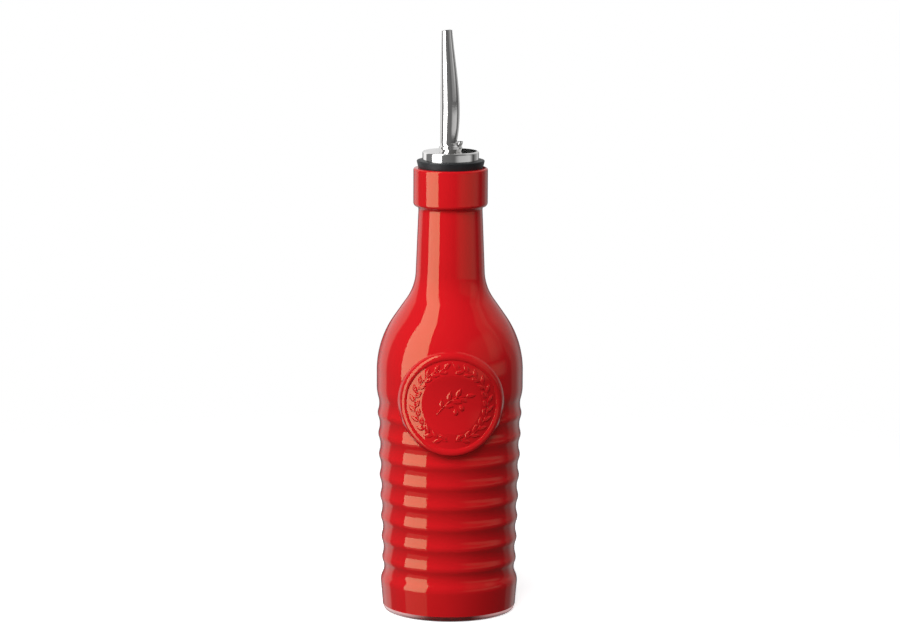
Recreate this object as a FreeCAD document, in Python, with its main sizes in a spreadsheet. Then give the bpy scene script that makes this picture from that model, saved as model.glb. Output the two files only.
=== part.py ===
import FreeCAD, Part
import math
import os
import Sketcher

# Glass oil bottle with a lift-out steel pourer.
# Millimetres, +Z up, origin on the ground under the bottle's axis, the raised seal facing -Y
# and the spout pouring towards -X.

SIZES = [
    # glass body, outside
    ("bottle_height", 199.0, "ground to the top of the lip"),
    ("body_radius", 32.5, "plain band between ribs and shoulder"),
    ("shoulder_drop", 90.4, "top of the lip down to where the plain band turns into the shoulder"),
    ("shoulder_curve", 42.0, "radius of the shoulder's arc"),
    ("shoulder_slope", 35.0, "steepest slope of the shoulder, degrees from upright"),
    ("neck_flare", 22.5, "radius of the arc between shoulder and neck"),
    ("neck_radius", 15.3, "foot of the neck"),
    ("neck_taper", 2.3, "degrees"),
    # glass body, ribs and foot
    ("foot_setback", 5.8, "plain band's radius less the outer edge of the ring that the bottle stands on"),
    ("foot_width", 3.2, "width of that ring"),
    ("foot_corner", 3.0, "radius of the lowest corner"),
    ("heel_setback", 1.93, "plain band's radius less the widest part above the foot"),
    ("heel_height", 13.2, "height of that widest part"),
    ("heel_curve", 6.6, "radius of its rounded top"),
    ("waist_curve", 6.8, "radius of the hollow between heel and first rib"),
    ("rib_count", 8, "ribs round the body"),
    ("rib_taper", 1.8, "widening of the ribs going up, degrees"),
    ("rib_crest", 4.0, "radius of a rib's crest"),
    ("rib_valley", 10.1, "radius of the hollow between two ribs"),
    ("first_rib_height", 23.7, "height of the lowest crest"),
    ("first_rib_setback", 2.52, "plain band's radius less that of the lowest crest"),
    ("band_width", 7.1, "height of the plain band"),
    ("band_lead", 12.21, "highest crest to the lower edge of the band"),
    ("band_curve", 17.4, "radius that leads from the last rib into the band"),
    # lip
    ("lip_height", 17.1, "height of the lip's ring"),
    ("lip_radius", 16.45, "radius of the lip's ring"),
    ("lip_top_round", 0.9, "upper corner of the lip"),
    ("lip_bottom_round", 1.7, "lower corner of the lip"),
    ("lip_root_round", 1.3, "fillet between neck and lip"),
    ("mouth_round", 1.2, "inner edge of the mouth"),
    # inside of the glass
    ("wall", 4.0, "glass thickness at the plain band"),
    ("mouth_radius", 10.0, "bore of the neck"),
    ("inner_flare", 26.0, "radius of the arc between the inner shoulder and the bore"),
    ("base_thickness", 7.0, "glass under the oil"),
    ("base_corner", 7.0, "radius between floor and wall inside"),
    ("punt_depth", 3.6, "hollow under the bottle"),
    # raised seal on the front
    ("seal_drop", 10.0, "shoulder down to its centre"),
    ("seal_radius", 23.4, "outer foot of its rim"),
    ("seal_rim_width", 3.8, "rim, from its outer foot to its inner foot"),
    ("seal_field_relief", 0.7, "field above the plain band"),
    ("seal_rim_relief", 0.9, "rim above the field"),
    ("seal_draft", 3.0, "slope of the rim's sides, degrees"),
    ("seal_rim_round", 0.4, "rounding of the rim's two edges"),
    # rubber stopper
    ("flange_radius", 15.1, "upper edge of the flange"),
    ("flange_seat_radius", 14.3, "lower edge of the flange, on the lip"),
    ("flange_thickness", 3.4, "height of the flange above the lip"),
    ("flange_round", 0.4, "rounded upper corner of the flange"),
    ("plug_radius", 8.4, "rubber between two fins"),
    ("plug_length", 27.0, "rubber below the lip"),
    ("plug_tip_radius", 7.0, "lower end of the plug"),
    ("plug_tip_taper", 3.0, "height of the taper at that end"),
    ("fin_count", 3, "sealing fins"),
    ("fin_pitch", 6.5, "from fin to fin"),
    ("first_fin_depth", 6.0, "lip to the first fin's edge"),
    ("fin_thickness", 1.0, "edge of a fin"),
    ("fin_slope", 2.2, "height of a fin's slanted underside"),
    ("fin_clearance", 0.1, "pressed fin to glass"),
    ("boss_height", 2.8, "rubber boss inside the collar"),
    ("boss_gap", 0.4, "boss to the collar's wall and top"),
    ("turning_gap", 0.05, "inlet tube in the stopper's bore"),
    # steel collar
    ("collar_radius", 12.45, "outside of the cap"),
    ("collar_height", 4.0, "flange to the top of the cap"),
    ("collar_round", 0.9, "rounded upper edge of the cap"),
    ("sheet", 0.5, "thickness of the pressed steel"),
    ("braze_gap", 0.03, "solder film between two steel pieces"),
    # steel tubes
    ("inlet_radius", 4.0, "outside of the inlet tube"),
    ("inlet_wall", 0.5, "wall of the inlet tube"),
    ("inlet_length", 39.5, "inlet tube below the lip"),
    ("inlet_stub", 0.5, "inlet tube above the collar's top"),
    ("spout_stem_radius", 4.5, "spout's foot on the collar"),
    ("spout_rim_radius", 5.05, "raised rim round that foot"),
    ("spout_rim_height", 1.6, "collar's top to the middle of the rim"),
    ("spout_rim_thickness", 1.0, "height of the rim"),
    ("spout_rim_round", 0.4, "rounding of the rim's two edges"),
    ("spout_flare_radius", 4.5, "foot of the flare, on the rim"),
    ("spout_flare_step", 2.7, "collar's top to the middle of the flare"),
    ("spout_flare_step_radius", 3.95, "radius at that height"),
    ("spout_flare_height", 3.7, "collar's top to the top of the flare"),
    ("spout_length", 53.4, "collar's top to the spout's tip"),
    ("spout_foot_radius", 3.65, "spout just above its foot"),
    ("spout_belly_radius", 4.2, "widest part of the spout"),
    ("spout_belly_height", 17.5, "collar's top to the widest part"),
    ("spout_waist_radius", 3.2, "spout at two thirds of its length"),
    ("spout_waist_height", 39.5, "collar's top to that place"),
    ("spout_tip_radius", 2.3, "outside of the tip"),
    ("spout_tip_cut", 6.0, "slant of the tip, degrees"),
    ("spout_foot_shift", 1.0, "centre of the foot's top, from the axis towards the pour"),
    ("spout_belly_shift", 0.35, "the same for the belly"),
    ("spout_waist_shift", 1.2, "the same for the waist"),
    ("spout_tip_shift", 1.9, "the same for the tip"),
    ("spout_wall", 0.5, "wall of the spout"),
    ("vent_radius", 1.2, "outside of the vent tube"),
    ("vent_bore", 0.85, "inside of the vent tube"),
    ("vent_offset", 2.15, "vent tube to the axis, inside the inlet tube"),
    ("vent_reach", 4.1, "open end of the vent tube to the axis"),
    ("vent_bend", 1.75, "radius of the vent tube's two bends"),
    ("vent_bend_start", 0.7, "collar's top to the first bend"),
    ("vent_end_length", 0.4, "straight open end of the vent tube"),
    ("vent_tail", 9.0, "vent tube below the inlet tube"),
]

# sizes that follow from those above
DERIVED = [
    ("shoulder_height", "=bottle_height - shoulder_drop", "foot of the shoulder"),
    ("band_height", "=shoulder_height - band_width", "lower edge of the plain band"),
    ("seal_height", "=shoulder_height - seal_drop", "centre of the seal"),
    ("rib_room", "=band_height - band_lead - first_rib_height", "lowest crest to the highest"),
    ("rib_pitch", "=rib_room / (rib_count - 1)", "from rib to rib, along the axis"),
    ("first_rib_radius", "=body_radius - first_rib_setback", "radius of the lowest crest"),
    ("heel_radius", "=body_radius - heel_setback", "widest part above the foot"),
    ("foot_radius", "=body_radius - foot_setback", "outer edge of the foot's ring"),
    ("foot_inner_radius", "=foot_radius - foot_width", "inner edge of that ring"),
]

doc = FreeCAD.newDocument("oil_bottle")


def make_sheet():
    """The driving dimensions, one row each: what it is, and its value under its own name."""
    table = doc.addObject("Spreadsheet::Sheet", "sizes")
    for row, (alias, value, note) in enumerate(SIZES + DERIVED, start=1):
        table.set(f"A{row}", note)
        table.set(f"B{row}", str(value))
        table.setAlias(f"B{row}", alias)
    doc.recompute()
    return table


sheet = make_sheet()


def size(alias):
    return float(sheet.get(alias))


def new_body(label, rest_height=None):
    """A sub-part. rest_height is the expression for the level that it is drawn from."""
    body = doc.addObject("PartDesign::Body", label)
    body.Label = label
    if rest_height:
        body.setExpression("Placement.Base.z", rest_height)
    return body


class Outline:
    """A sketch on one of its body's origin planes. x runs outwards; y is up on XZ, back on XY."""

    def __init__(self, body, name, plane="XZ_Plane", level=None):
        self.sketch = body.newObject("Sketcher::SketchObject", name)
        origin_plane = [item for item in body.Origin.OriginFeatures if item.Role == plane][0]
        self.sketch.AttachmentSupport = [(origin_plane, "")]
        self.sketch.MapMode = "FlatFace"
        if level:
            self.sketch.setExpression("AttachmentOffset.Base.z", level)

    def line(self, start, end):
        segment = Part.LineSegment(FreeCAD.Vector(*start, 0), FreeCAD.Vector(*end, 0))
        return self.sketch.addGeometry(segment)

    def arc(self, centre, radius, start, end):
        """The arc about centre from start to end, anticlockwise. Returns its index."""
        circle = Part.Circle(FreeCAD.Vector(*centre, 0), FreeCAD.Vector(0, 0, 1), radius)
        first = math.atan2(start[1] - centre[1], start[0] - centre[0])
        last = math.atan2(end[1] - centre[1], end[0] - centre[0])
        if last <= first:
            last += 2 * math.pi
        return self.sketch.addGeometry(Part.ArcOfCircle(circle, first, last))

    def circle(self, centre, radius):
        shape = Part.Circle(FreeCAD.Vector(*centre, 0), FreeCAD.Vector(0, 0, 1), radius)
        return self.sketch.addGeometry(shape)

    def rule(self, kind, *arguments, to=None):
        """Adds a constraint, whose value follows the expression `to` when one is given."""
        number = self.sketch.addConstraint(Sketcher.Constraint(kind, *arguments))
        if to:
            self.sketch.setExpression(f"Constraints[{number}]", to)

    def place(self, item, point, x=None, y=None):
        """Holds a point of an item (1 start, 2 end, 3 centre) at x and y: (value, expression)."""
        if x:
            self.rule("DistanceX", -1, 1, item, point, x[0], to=x[1])
        if y:
            self.rule("DistanceY", -1, 1, item, point, y[0], to=y[1])

    def polygon(self, corners):
        """A closed outline of straight lines, each corner given as two (value, expression) pairs."""
        points = [(x[0], y[0]) for x, y in corners]
        lines = [self.line(a, b) for a, b in zip(points, points[1:] + points[:1])]
        for item, following in zip(lines, lines[1:] + lines[:1]):
            self.rule("Coincident", item, 2, following, 1)
        for item, (x, y) in zip(lines, corners):
            self.place(item, 1, x, y)
        return lines


def named(alias):
    """A size as the pair (value, expression)."""
    return (size(alias), f"sizes.{alias}")


def solid_feature(body, kind, name, outline, **settings):
    feature = body.newObject(f"PartDesign::{kind}", name)
    feature.Profile = outline.sketch
    for key, setting in settings.items():
        if isinstance(setting, str) and setting.startswith("="):
            feature.setExpression(key, setting[1:])
        else:
            setattr(feature, key, setting)
    return feature


def revolve(body, kind, name, outline, angle=360.0, reverse=False):
    """kind is Revolution or Groove, about the axis of the bottle."""
    axis = (outline.sketch, ["V_Axis"])
    return solid_feature(body, kind, name, outline, ReferenceAxis=axis, Angle=angle, Reversed=reverse)


def ring_edges(feature, *rings):
    """The round edges of a feature about the Z axis at the given (radius, height) pairs."""
    doc.recompute()
    names = []
    for number, edge in enumerate(feature.Shape.Edges, start=1):
        middle = edge.valueAt((edge.FirstParameter + edge.LastParameter) / 2)
        for radius, height in rings:
            if math.hypot(math.hypot(middle.x, middle.y) - radius, middle.z - height) < 0.02:
                names.append(f"Edge{number}")
    return names


def fillet(body, name, base, edges, radius):
    feature = body.newObject("PartDesign::Fillet", name)
    feature.Base = (base, edges)
    feature.Radius = size(radius)
    feature.setExpression("Radius", f"sizes.{radius}")
    return feature


def outer_tangent(lower, lower_radius, upper, upper_radius):
    """The line touching two circles on their +x side, as its lower and upper points."""
    across = upper[0] - lower[0]
    along = upper[1] - lower[1]
    distance = math.hypot(across, along)
    angle = math.atan2(across, along) + math.asin((upper_radius - lower_radius) / distance)
    normal = (math.cos(angle), -math.sin(angle))
    low = (lower[0] + lower_radius * normal[0], lower[1] + lower_radius * normal[1])
    high = (upper[0] + upper_radius * normal[0], upper[1] + upper_radius * normal[1])
    return low, high


def hollow_centre(lower, lower_radius, upper, upper_radius, radius):
    """Centre of the arc that lies in the hollow between two round crests and touches both."""
    reach_low = lower_radius + radius
    reach_high = upper_radius + radius
    across = upper[0] - lower[0]
    along = upper[1] - lower[1]
    distance = math.hypot(across, along)
    share = (reach_low ** 2 - reach_high ** 2 + distance ** 2) / (2 * distance)
    offset = math.sqrt(reach_low ** 2 - share ** 2)
    x = lower[0] + (share * across + offset * along) / distance
    y = lower[1] + (share * along - offset * across) / distance
    return (x, y)


def between(first, first_radius, second, second_radius):
    """The point where two circles that touch from outside meet."""
    share = first_radius / (first_radius + second_radius)
    return (first[0] + (second[0] - first[0]) * share, first[1] + (second[1] - first[1]) * share)


def ribbed_wall(body):
    """Foot, heel, ribs and plain band: a chain of arcs that all touch, closed along the axis."""
    draw = Outline(body, "ribbed_wall_outline")
    slope = math.tan(math.radians(size("rib_taper")))
    rib_count = round(size("rib_count"))

    foot_centre = (size("foot_radius"), size("foot_corner"))
    heel_centre = (size("heel_radius") - size("heel_curve"), size("heel_height"))
    band_centre = (size("body_radius") - size("band_curve"), size("band_height"))
    crests = [(heel_centre, size("heel_curve"))]
    for number in range(rib_count):
        height = size("first_rib_height") + number * size("rib_pitch")
        radius = size("first_rib_radius") + number * size("rib_pitch") * slope
        crests.append(((radius - size("rib_crest"), height), size("rib_crest")))
    crests.append((band_centre, size("band_curve")))

    foot_end = (size("foot_radius"), 0)
    flank = outer_tangent(foot_centre, size("foot_corner"), heel_centre, size("heel_curve"))
    base = draw.line((0, 0), foot_end)
    corner = draw.arc(foot_centre, size("foot_corner"), foot_end, flank[0])
    heel_flank = draw.line(*flank)
    draw.rule("Tangent", base, 2, corner, 1)
    draw.rule("Tangent", corner, 2, heel_flank, 1)

    start = flank[1]
    previous = (heel_flank, 2)
    for number, ((centre, radius), (above, above_radius)) in enumerate(zip(crests, crests[1:])):
        hollow = "waist_curve" if number == 0 else "rib_valley"
        hollow_radius = size(hollow)
        valley_centre = hollow_centre(centre, radius, above, above_radius, hollow_radius)
        top = between(centre, radius, valley_centre, hollow_radius)
        next_start = between(above, above_radius, valley_centre, hollow_radius)
        crest = draw.arc(centre, radius, start, top)
        valley = draw.arc(valley_centre, hollow_radius, next_start, top)
        draw.rule("Tangent", *previous, crest, 1)
        draw.rule("Tangent", crest, 2, valley, 2)
        draw.rule("Radius", valley, hollow_radius, to=f"sizes.{hollow}")
        if number == 0:
            draw.rule("Radius", crest, radius, to="sizes.heel_curve")
            draw.place(crest, 3, (centre[0], "sizes.heel_radius - sizes.heel_curve"), named("heel_height"))
        else:
            rise = f"{number - 1} * sizes.rib_pitch"
            out = f"sizes.first_rib_radius - sizes.rib_crest + {rise} * tan(sizes.rib_taper * 1 deg)"
            draw.rule("Radius", crest, radius, to="sizes.rib_crest")
            draw.place(crest, 3, (centre[0], out), (centre[1], f"sizes.first_rib_height + {rise}"))
        start = next_start
        previous = (valley, 1)

    band_low = (size("body_radius"), size("band_height"))
    band_top = (size("body_radius"), size("shoulder_height"))
    edge = draw.arc(band_centre, size("band_curve"), start, band_low)
    band = draw.line(band_low, band_top)
    lid = draw.line(band_top, (0, band_top[1]))
    axis = draw.line((0, band_top[1]), (0, 0))
    draw.rule("Tangent", *previous, edge, 1)
    draw.rule("Radius", edge, size("band_curve"), to="sizes.band_curve")
    draw.rule("Tangent", edge, 2, band, 1)
    draw.rule("Coincident", band, 2, lid, 1)
    draw.rule("Coincident", lid, 2, axis, 1)
    draw.rule("Coincident", axis, 2, base, 1)
    draw.rule("Coincident", base, 1, -1, 1)
    draw.rule("Horizontal", base)
    draw.rule("Horizontal", lid)
    draw.rule("Vertical", band)
    draw.rule("Vertical", axis)
    draw.rule("Radius", corner, size("foot_corner"), to="sizes.foot_corner")
    draw.place(base, 2, x=named("foot_radius"))
    draw.place(edge, 3, y=named("band_height"))
    draw.place(band, 2, named("body_radius"), named("shoulder_height"))
    return revolve(body, "Revolution", "ribbed_wall", draw)


def shoulder_points(radius_at_band, curve, neck_radius, flare, taper):
    """Points along a shoulder: arc end, flank end, neck start, and the centres of its two arcs."""
    slope = math.radians(size("shoulder_slope"))
    height = size("shoulder_height")
    centre = (radius_at_band - curve, height)
    arc_end = (centre[0] + curve * math.cos(slope), height + curve * math.sin(slope))
    turn = flare * (math.cos(taper) - math.cos(slope))
    flank = (arc_end[0] - neck_radius - turn) / math.sin(slope)
    flank_end = (arc_end[0] - flank * math.sin(slope), arc_end[1] + flank * math.cos(slope))
    neck_centre = (flank_end[0] + flare * math.cos(slope), flank_end[1] + flare * math.sin(slope))
    neck_start = (neck_radius, neck_centre[1] - flare * math.sin(taper))
    return centre, arc_end, flank_end, neck_centre, neck_start


def outer_shoulder():
    """The points along the outside of the shoulder, as shoulder_points gives them."""
    taper = math.radians(size("neck_taper"))
    return shoulder_points(
        size("body_radius"), size("shoulder_curve"), size("neck_radius"), size("neck_flare"), taper)


def neck_top():
    """Where the tapered neck meets the underside of the lip."""
    radius, height = outer_shoulder()[-1]
    lip_base = size("bottle_height") - size("lip_height")
    return (radius - (lip_base - height) * math.tan(math.radians(size("neck_taper"))), lip_base)


def shoulder_and_neck(body):
    """Round shoulder, straight flank, flare and tapered neck, up to the underside of the lip."""
    draw = Outline(body, "shoulder_outline")
    taper = math.radians(size("neck_taper"))
    curve = size("shoulder_curve")
    flare = size("neck_flare")
    centre, arc_end, flank_end, neck_centre, neck_start = outer_shoulder()
    band_top = (size("body_radius"), size("shoulder_height"))
    top = neck_top()

    floor = draw.line((0, band_top[1]), band_top)
    shoulder = draw.arc(centre, curve, band_top, arc_end)
    flank = draw.line(arc_end, flank_end)
    throat = draw.arc(neck_centre, flare, neck_start, flank_end)
    neck = draw.line(neck_start, top)
    lid = draw.line(top, (0, top[1]))
    axis = draw.line((0, top[1]), (0, band_top[1]))
    draw.rule("Coincident", floor, 2, shoulder, 1)
    draw.rule("Tangent", shoulder, 2, flank, 1)
    draw.rule("Tangent", flank, 2, throat, 2)
    draw.rule("Tangent", throat, 1, neck, 1)
    draw.rule("Coincident", neck, 2, lid, 1)
    draw.rule("Coincident", lid, 2, axis, 1)
    draw.rule("Coincident", axis, 2, floor, 1)
    draw.rule("Horizontal", floor)
    draw.rule("Horizontal", lid)
    draw.rule("PointOnObject", lid, 2, -2)
    draw.rule("PointOnObject", floor, 1, -2)
    draw.rule("Radius", shoulder, curve, to="sizes.shoulder_curve")
    draw.rule("Radius", throat, flare, to="sizes.neck_flare")
    draw.place(shoulder, 3, y=named("shoulder_height"))
    draw.place(floor, 2, named("body_radius"), named("shoulder_height"))
    draw.place(neck, 1, x=named("neck_radius"))
    draw.place(neck, 2, y=(top[1], "sizes.bottle_height - sizes.lip_height"))
    slope = math.radians(size("shoulder_slope"))
    draw.rule("Angle", flank, math.pi / 2 + slope, to="(90 + sizes.shoulder_slope) * 1 deg")
    draw.rule("Angle", neck, math.pi / 2 + taper, to="(90 + sizes.neck_taper) * 1 deg")
    return revolve(body, "Revolution", "shoulder_and_neck", draw)


def lip(body):
    """The plain ring round the mouth, its corners rounded and blended into the neck."""
    low = (size("bottle_height") - size("lip_height"), "sizes.bottle_height - sizes.lip_height")
    zero = (0, "0")
    draw = Outline(body, "lip_outline")
    draw.polygon([
        (zero, low),
        (named("lip_radius"), low),
        (named("lip_radius"), named("bottle_height")),
        (zero, named("bottle_height")),
    ])
    ring = revolve(body, "Revolution", "lip", draw)
    doc.recompute()
    radius = size("lip_radius")
    root = neck_top()[0]
    rounds = [
        ("lip_top_round", radius, size("bottle_height")),
        ("lip_bottom_round", radius, low[0]),
        ("lip_root_round", root, low[0]),
    ]
    feature = ring
    for name, edge_radius, height in rounds:
        edges = ring_edges(feature, (edge_radius, height))
        feature = fillet(body, name, feature, edges, name)
    return feature


def seal_blank(body, name, relief):
    """Half a turn of the bottle's own outline, standing out by relief: the blank of the seal."""
    total = sum(size(part) for part in relief)
    extra = " + ".join(f"sizes.{part}" for part in relief)
    reach = size("seal_radius") + size("seal_rim_width")
    bottom = size("seal_height") - reach
    top = size("seal_height") + reach
    curve = size("shoulder_curve") + total
    centre = (size("body_radius") - size("shoulder_curve"), size("shoulder_height"))
    rim = size("body_radius") + total
    crown = (centre[0] + math.sqrt(curve ** 2 - (top - centre[1]) ** 2), top)

    draw = Outline(body, f"{name}_outline")
    floor = draw.line((0, bottom), (rim, bottom))
    wall = draw.line((rim, bottom), (rim, centre[1]))
    shoulder = draw.arc(centre, curve, (rim, centre[1]), crown)
    lid = draw.line(crown, (0, top))
    axis = draw.line((0, top), (0, bottom))
    draw.rule("Coincident", floor, 2, wall, 1)
    draw.rule("Tangent", wall, 2, shoulder, 1)
    draw.rule("Coincident", shoulder, 2, lid, 1)
    draw.rule("Coincident", lid, 2, axis, 1)
    draw.rule("Coincident", axis, 2, floor, 1)
    draw.rule("Horizontal", floor)
    draw.rule("Vertical", wall)
    draw.rule("Horizontal", lid)
    draw.rule("PointOnObject", floor, 1, -2)
    draw.rule("PointOnObject", lid, 2, -2)
    draw.rule("Radius", shoulder, curve, to=f"sizes.shoulder_curve + {extra}")
    draw.place(shoulder, 3, y=named("shoulder_height"))
    draw.place(wall, 1, (rim, f"sizes.body_radius + {extra}"),
               (bottom, "sizes.seal_height - sizes.seal_radius - sizes.seal_rim_width"))
    draw.place(lid, 2, y=(top, "sizes.seal_height + sizes.seal_radius + sizes.seal_rim_width"))
    return revolve(body, "Revolution", name, draw, angle=180.0, reverse=True)


def crest_edges(feature):
    """The two closed edges along the top of the seal's rim."""
    doc.recompute()
    level = size("seal_field_relief") + size("seal_rim_relief")
    names = []
    for number, edge in enumerate(feature.Shape.Edges, start=1):
        steps = [edge.FirstParameter + share * (edge.LastParameter - edge.FirstParameter)
                 for share in (0.25, 0.5, 0.75)]
        points = [edge.valueAt(step) for step in steps]
        on_crest = all(abs(height_above_glass(point) - level) < 0.02 for point in points)
        if on_crest and abs(points[0].z - points[-1].z) + abs(points[0].z - points[1].z) > 0.1:
            names.append(f"Edge{number}")
    return names


def height_above_glass(point):
    """How far a point stands out of the plain band and the shoulder above it."""
    radius = math.hypot(point.x, point.y)
    rise = point.z - size("shoulder_height")
    if rise <= 0:
        return radius - size("body_radius")
    centre = size("body_radius") - size("shoulder_curve")
    return math.hypot(radius - centre, rise) - size("shoulder_curve")


def seal(body):
    """Round raised seal that wraps round the front of the glass: a field inside a raised rim."""
    depth = size("body_radius") + size("seal_field_relief")
    spread = depth * math.tan(math.radians(size("seal_draft")))
    spread_text = "(sizes.body_radius + sizes.seal_field_relief) * tan(sizes.seal_draft * 1 deg)"
    far = 2 * size("body_radius")

    seal_blank(body, "seal_rim_blank", ["seal_field_relief", "seal_rim_relief"])
    inside = Outline(body, "seal_field_circle")
    hole = inside.circle((0, size("seal_height")), size("seal_radius") - size("seal_rim_width") - spread)
    inside.rule("PointOnObject", hole, 3, -2)
    inside.place(hole, 3, y=named("seal_height"))
    inside.rule("Radius", hole, size("seal_radius") - size("seal_rim_width") - spread,
                to=f"sizes.seal_radius - sizes.seal_rim_width - {spread_text}")
    solid_feature(body, "Pocket", "seal_field_hole", inside, Length="=2 * sizes.body_radius",
                  TaperAngle="=sizes.seal_draft", Reversed=True)

    seal_blank(body, "seal_field", ["seal_field_relief"])
    outside = Outline(body, "seal_outer_circle")
    edge = outside.circle((0, size("seal_height")), size("seal_radius") + spread)
    waste = outside.circle((0, size("seal_height")), far)
    outside.rule("PointOnObject", edge, 3, -2)
    outside.place(edge, 3, y=named("seal_height"))
    outside.rule("Coincident", edge, 3, waste, 3)
    outside.rule("Radius", edge, size("seal_radius") + spread, to=f"sizes.seal_radius + {spread_text}")
    outside.rule("Radius", waste, far, to="2 * sizes.body_radius")
    edge = solid_feature(body, "Pocket", "seal_edge", outside, Length="=2 * sizes.body_radius",
                         TaperAngle="=-sizes.seal_draft", Reversed=True)
    return fillet(body, "seal_rim_round", edge, crest_edges(edge), "seal_rim_round")


def cavity(body):
    """The room for the oil: flat-bottomed, following the outside, and the bore of the neck."""
    draw = Outline(body, "cavity_outline")
    wall = size("wall")
    curve = size("shoulder_curve") - wall
    flare = size("inner_flare")
    inner = size("body_radius") - wall
    taper = math.radians(size("rib_taper"))
    points = shoulder_points(inner, curve, size("mouth_radius"), flare, 0.0)
    centre, arc_end, flank_end, neck_centre, neck_start = points
    floor_height = size("punt_depth") + size("base_thickness")
    foot = size("foot_inner_radius")
    punt = (foot ** 2 + size("punt_depth") ** 2) / (2 * size("punt_depth"))
    floor_curve = punt + size("base_thickness")
    floor_centre = (0, size("punt_depth") - punt)
    band_top = (inner, size("shoulder_height"))
    floor_edge = wall_foot(band_top, taper, floor_centre, floor_curve)

    top = size("bottle_height")
    floor = draw.arc(floor_centre, floor_curve, floor_edge, (0, floor_height))
    side = draw.line(floor_edge, band_top)
    shoulder = draw.arc(centre, curve, band_top, arc_end)
    flank = draw.line(arc_end, flank_end)
    throat = draw.arc(neck_centre, flare, neck_start, flank_end)
    bore = draw.line(neck_start, (neck_start[0], top))
    mouth = draw.line((neck_start[0], top), (0, top))
    axis = draw.line((0, top), (0, floor_height))
    draw.rule("Coincident", floor, 1, side, 1)
    draw.rule("Coincident", side, 2, shoulder, 1)
    draw.rule("Tangent", shoulder, 2, flank, 1)
    draw.rule("Tangent", flank, 2, throat, 2)
    draw.rule("Tangent", throat, 1, bore, 1)
    draw.rule("Coincident", bore, 2, mouth, 1)
    draw.rule("Coincident", mouth, 2, axis, 1)
    draw.rule("Coincident", axis, 2, floor, 2)
    draw.rule("PointOnObject", mouth, 2, -2)
    draw.rule("PointOnObject", floor, 3, -2)
    draw.rule("Vertical", axis)
    draw.rule("Vertical", bore)
    draw.rule("Horizontal", mouth)
    punt_text = "(sizes.foot_inner_radius^2 + sizes.punt_depth^2) / (2 * sizes.punt_depth)"
    draw.rule("Radius", floor, floor_curve, to=f"{punt_text} + sizes.base_thickness")
    draw.rule("Radius", shoulder, curve, to="sizes.shoulder_curve - sizes.wall")
    draw.rule("Radius", throat, flare, to="sizes.inner_flare")
    draw.place(floor, 2, y=(floor_height, "sizes.punt_depth + sizes.base_thickness"))
    draw.place(shoulder, 3, y=named("shoulder_height"))
    draw.place(side, 2, (inner, "sizes.body_radius - sizes.wall"), named("shoulder_height"))
    draw.place(bore, 2, named("mouth_radius"), named("bottle_height"))
    slope = math.radians(size("shoulder_slope"))
    draw.rule("Angle", side, math.pi / 2 - taper, to="(90 - sizes.rib_taper) * 1 deg")
    draw.rule("Angle", flank, math.pi / 2 + slope, to="(90 + sizes.shoulder_slope) * 1 deg")
    hollow = revolve(body, "Groove", "cavity", draw)
    edges = ring_edges(hollow, floor_edge)
    corner = fillet(body, "base_corner", hollow, edges, "base_corner")
    edges = ring_edges(corner, (size("mouth_radius"), top))
    return fillet(body, "mouth_round", corner, edges, "mouth_round")


def wall_foot(band_top, taper, floor_centre, floor_curve):
    """Where the cavity's tapered wall meets its domed floor."""
    step = (-math.sin(taper), -math.cos(taper))
    away = (band_top[0] - floor_centre[0], band_top[1] - floor_centre[1])
    along = away[0] * step[0] + away[1] * step[1]
    inside = along ** 2 - (away[0] ** 2 + away[1] ** 2 - floor_curve ** 2)
    length = -along - math.sqrt(inside)
    return (band_top[0] + length * step[0], band_top[1] + length * step[1])


def punt(body):
    """The shallow dome under the bottle, which leaves a ring to stand on."""
    draw = Outline(body, "punt_outline")
    foot = size("foot_inner_radius")
    depth = size("punt_depth")
    radius = (foot ** 2 + depth ** 2) / (2 * depth)
    dome = draw.arc((0, depth - radius), radius, (foot, 0), (0, depth))
    axis = draw.line((0, depth), (0, 0))
    ground = draw.line((0, 0), (foot, 0))
    draw.rule("Coincident", dome, 2, axis, 1)
    draw.rule("Coincident", axis, 2, ground, 1)
    draw.rule("Coincident", ground, 2, dome, 1)
    draw.rule("Coincident", ground, 1, -1, 1)
    draw.rule("PointOnObject", dome, 3, -2)
    draw.rule("Vertical", axis)
    draw.rule("Horizontal", ground)
    draw.place(ground, 2, x=named("foot_inner_radius"))
    draw.place(axis, 1, y=named("punt_depth"))
    return revolve(body, "Groove", "punt", draw)


def make_bottle():
    body = new_body("bottle")
    seal(body)
    ribbed_wall(body)
    shoulder_and_neck(body)
    lip(body)
    cavity(body)
    punt(body)
    return body


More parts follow.
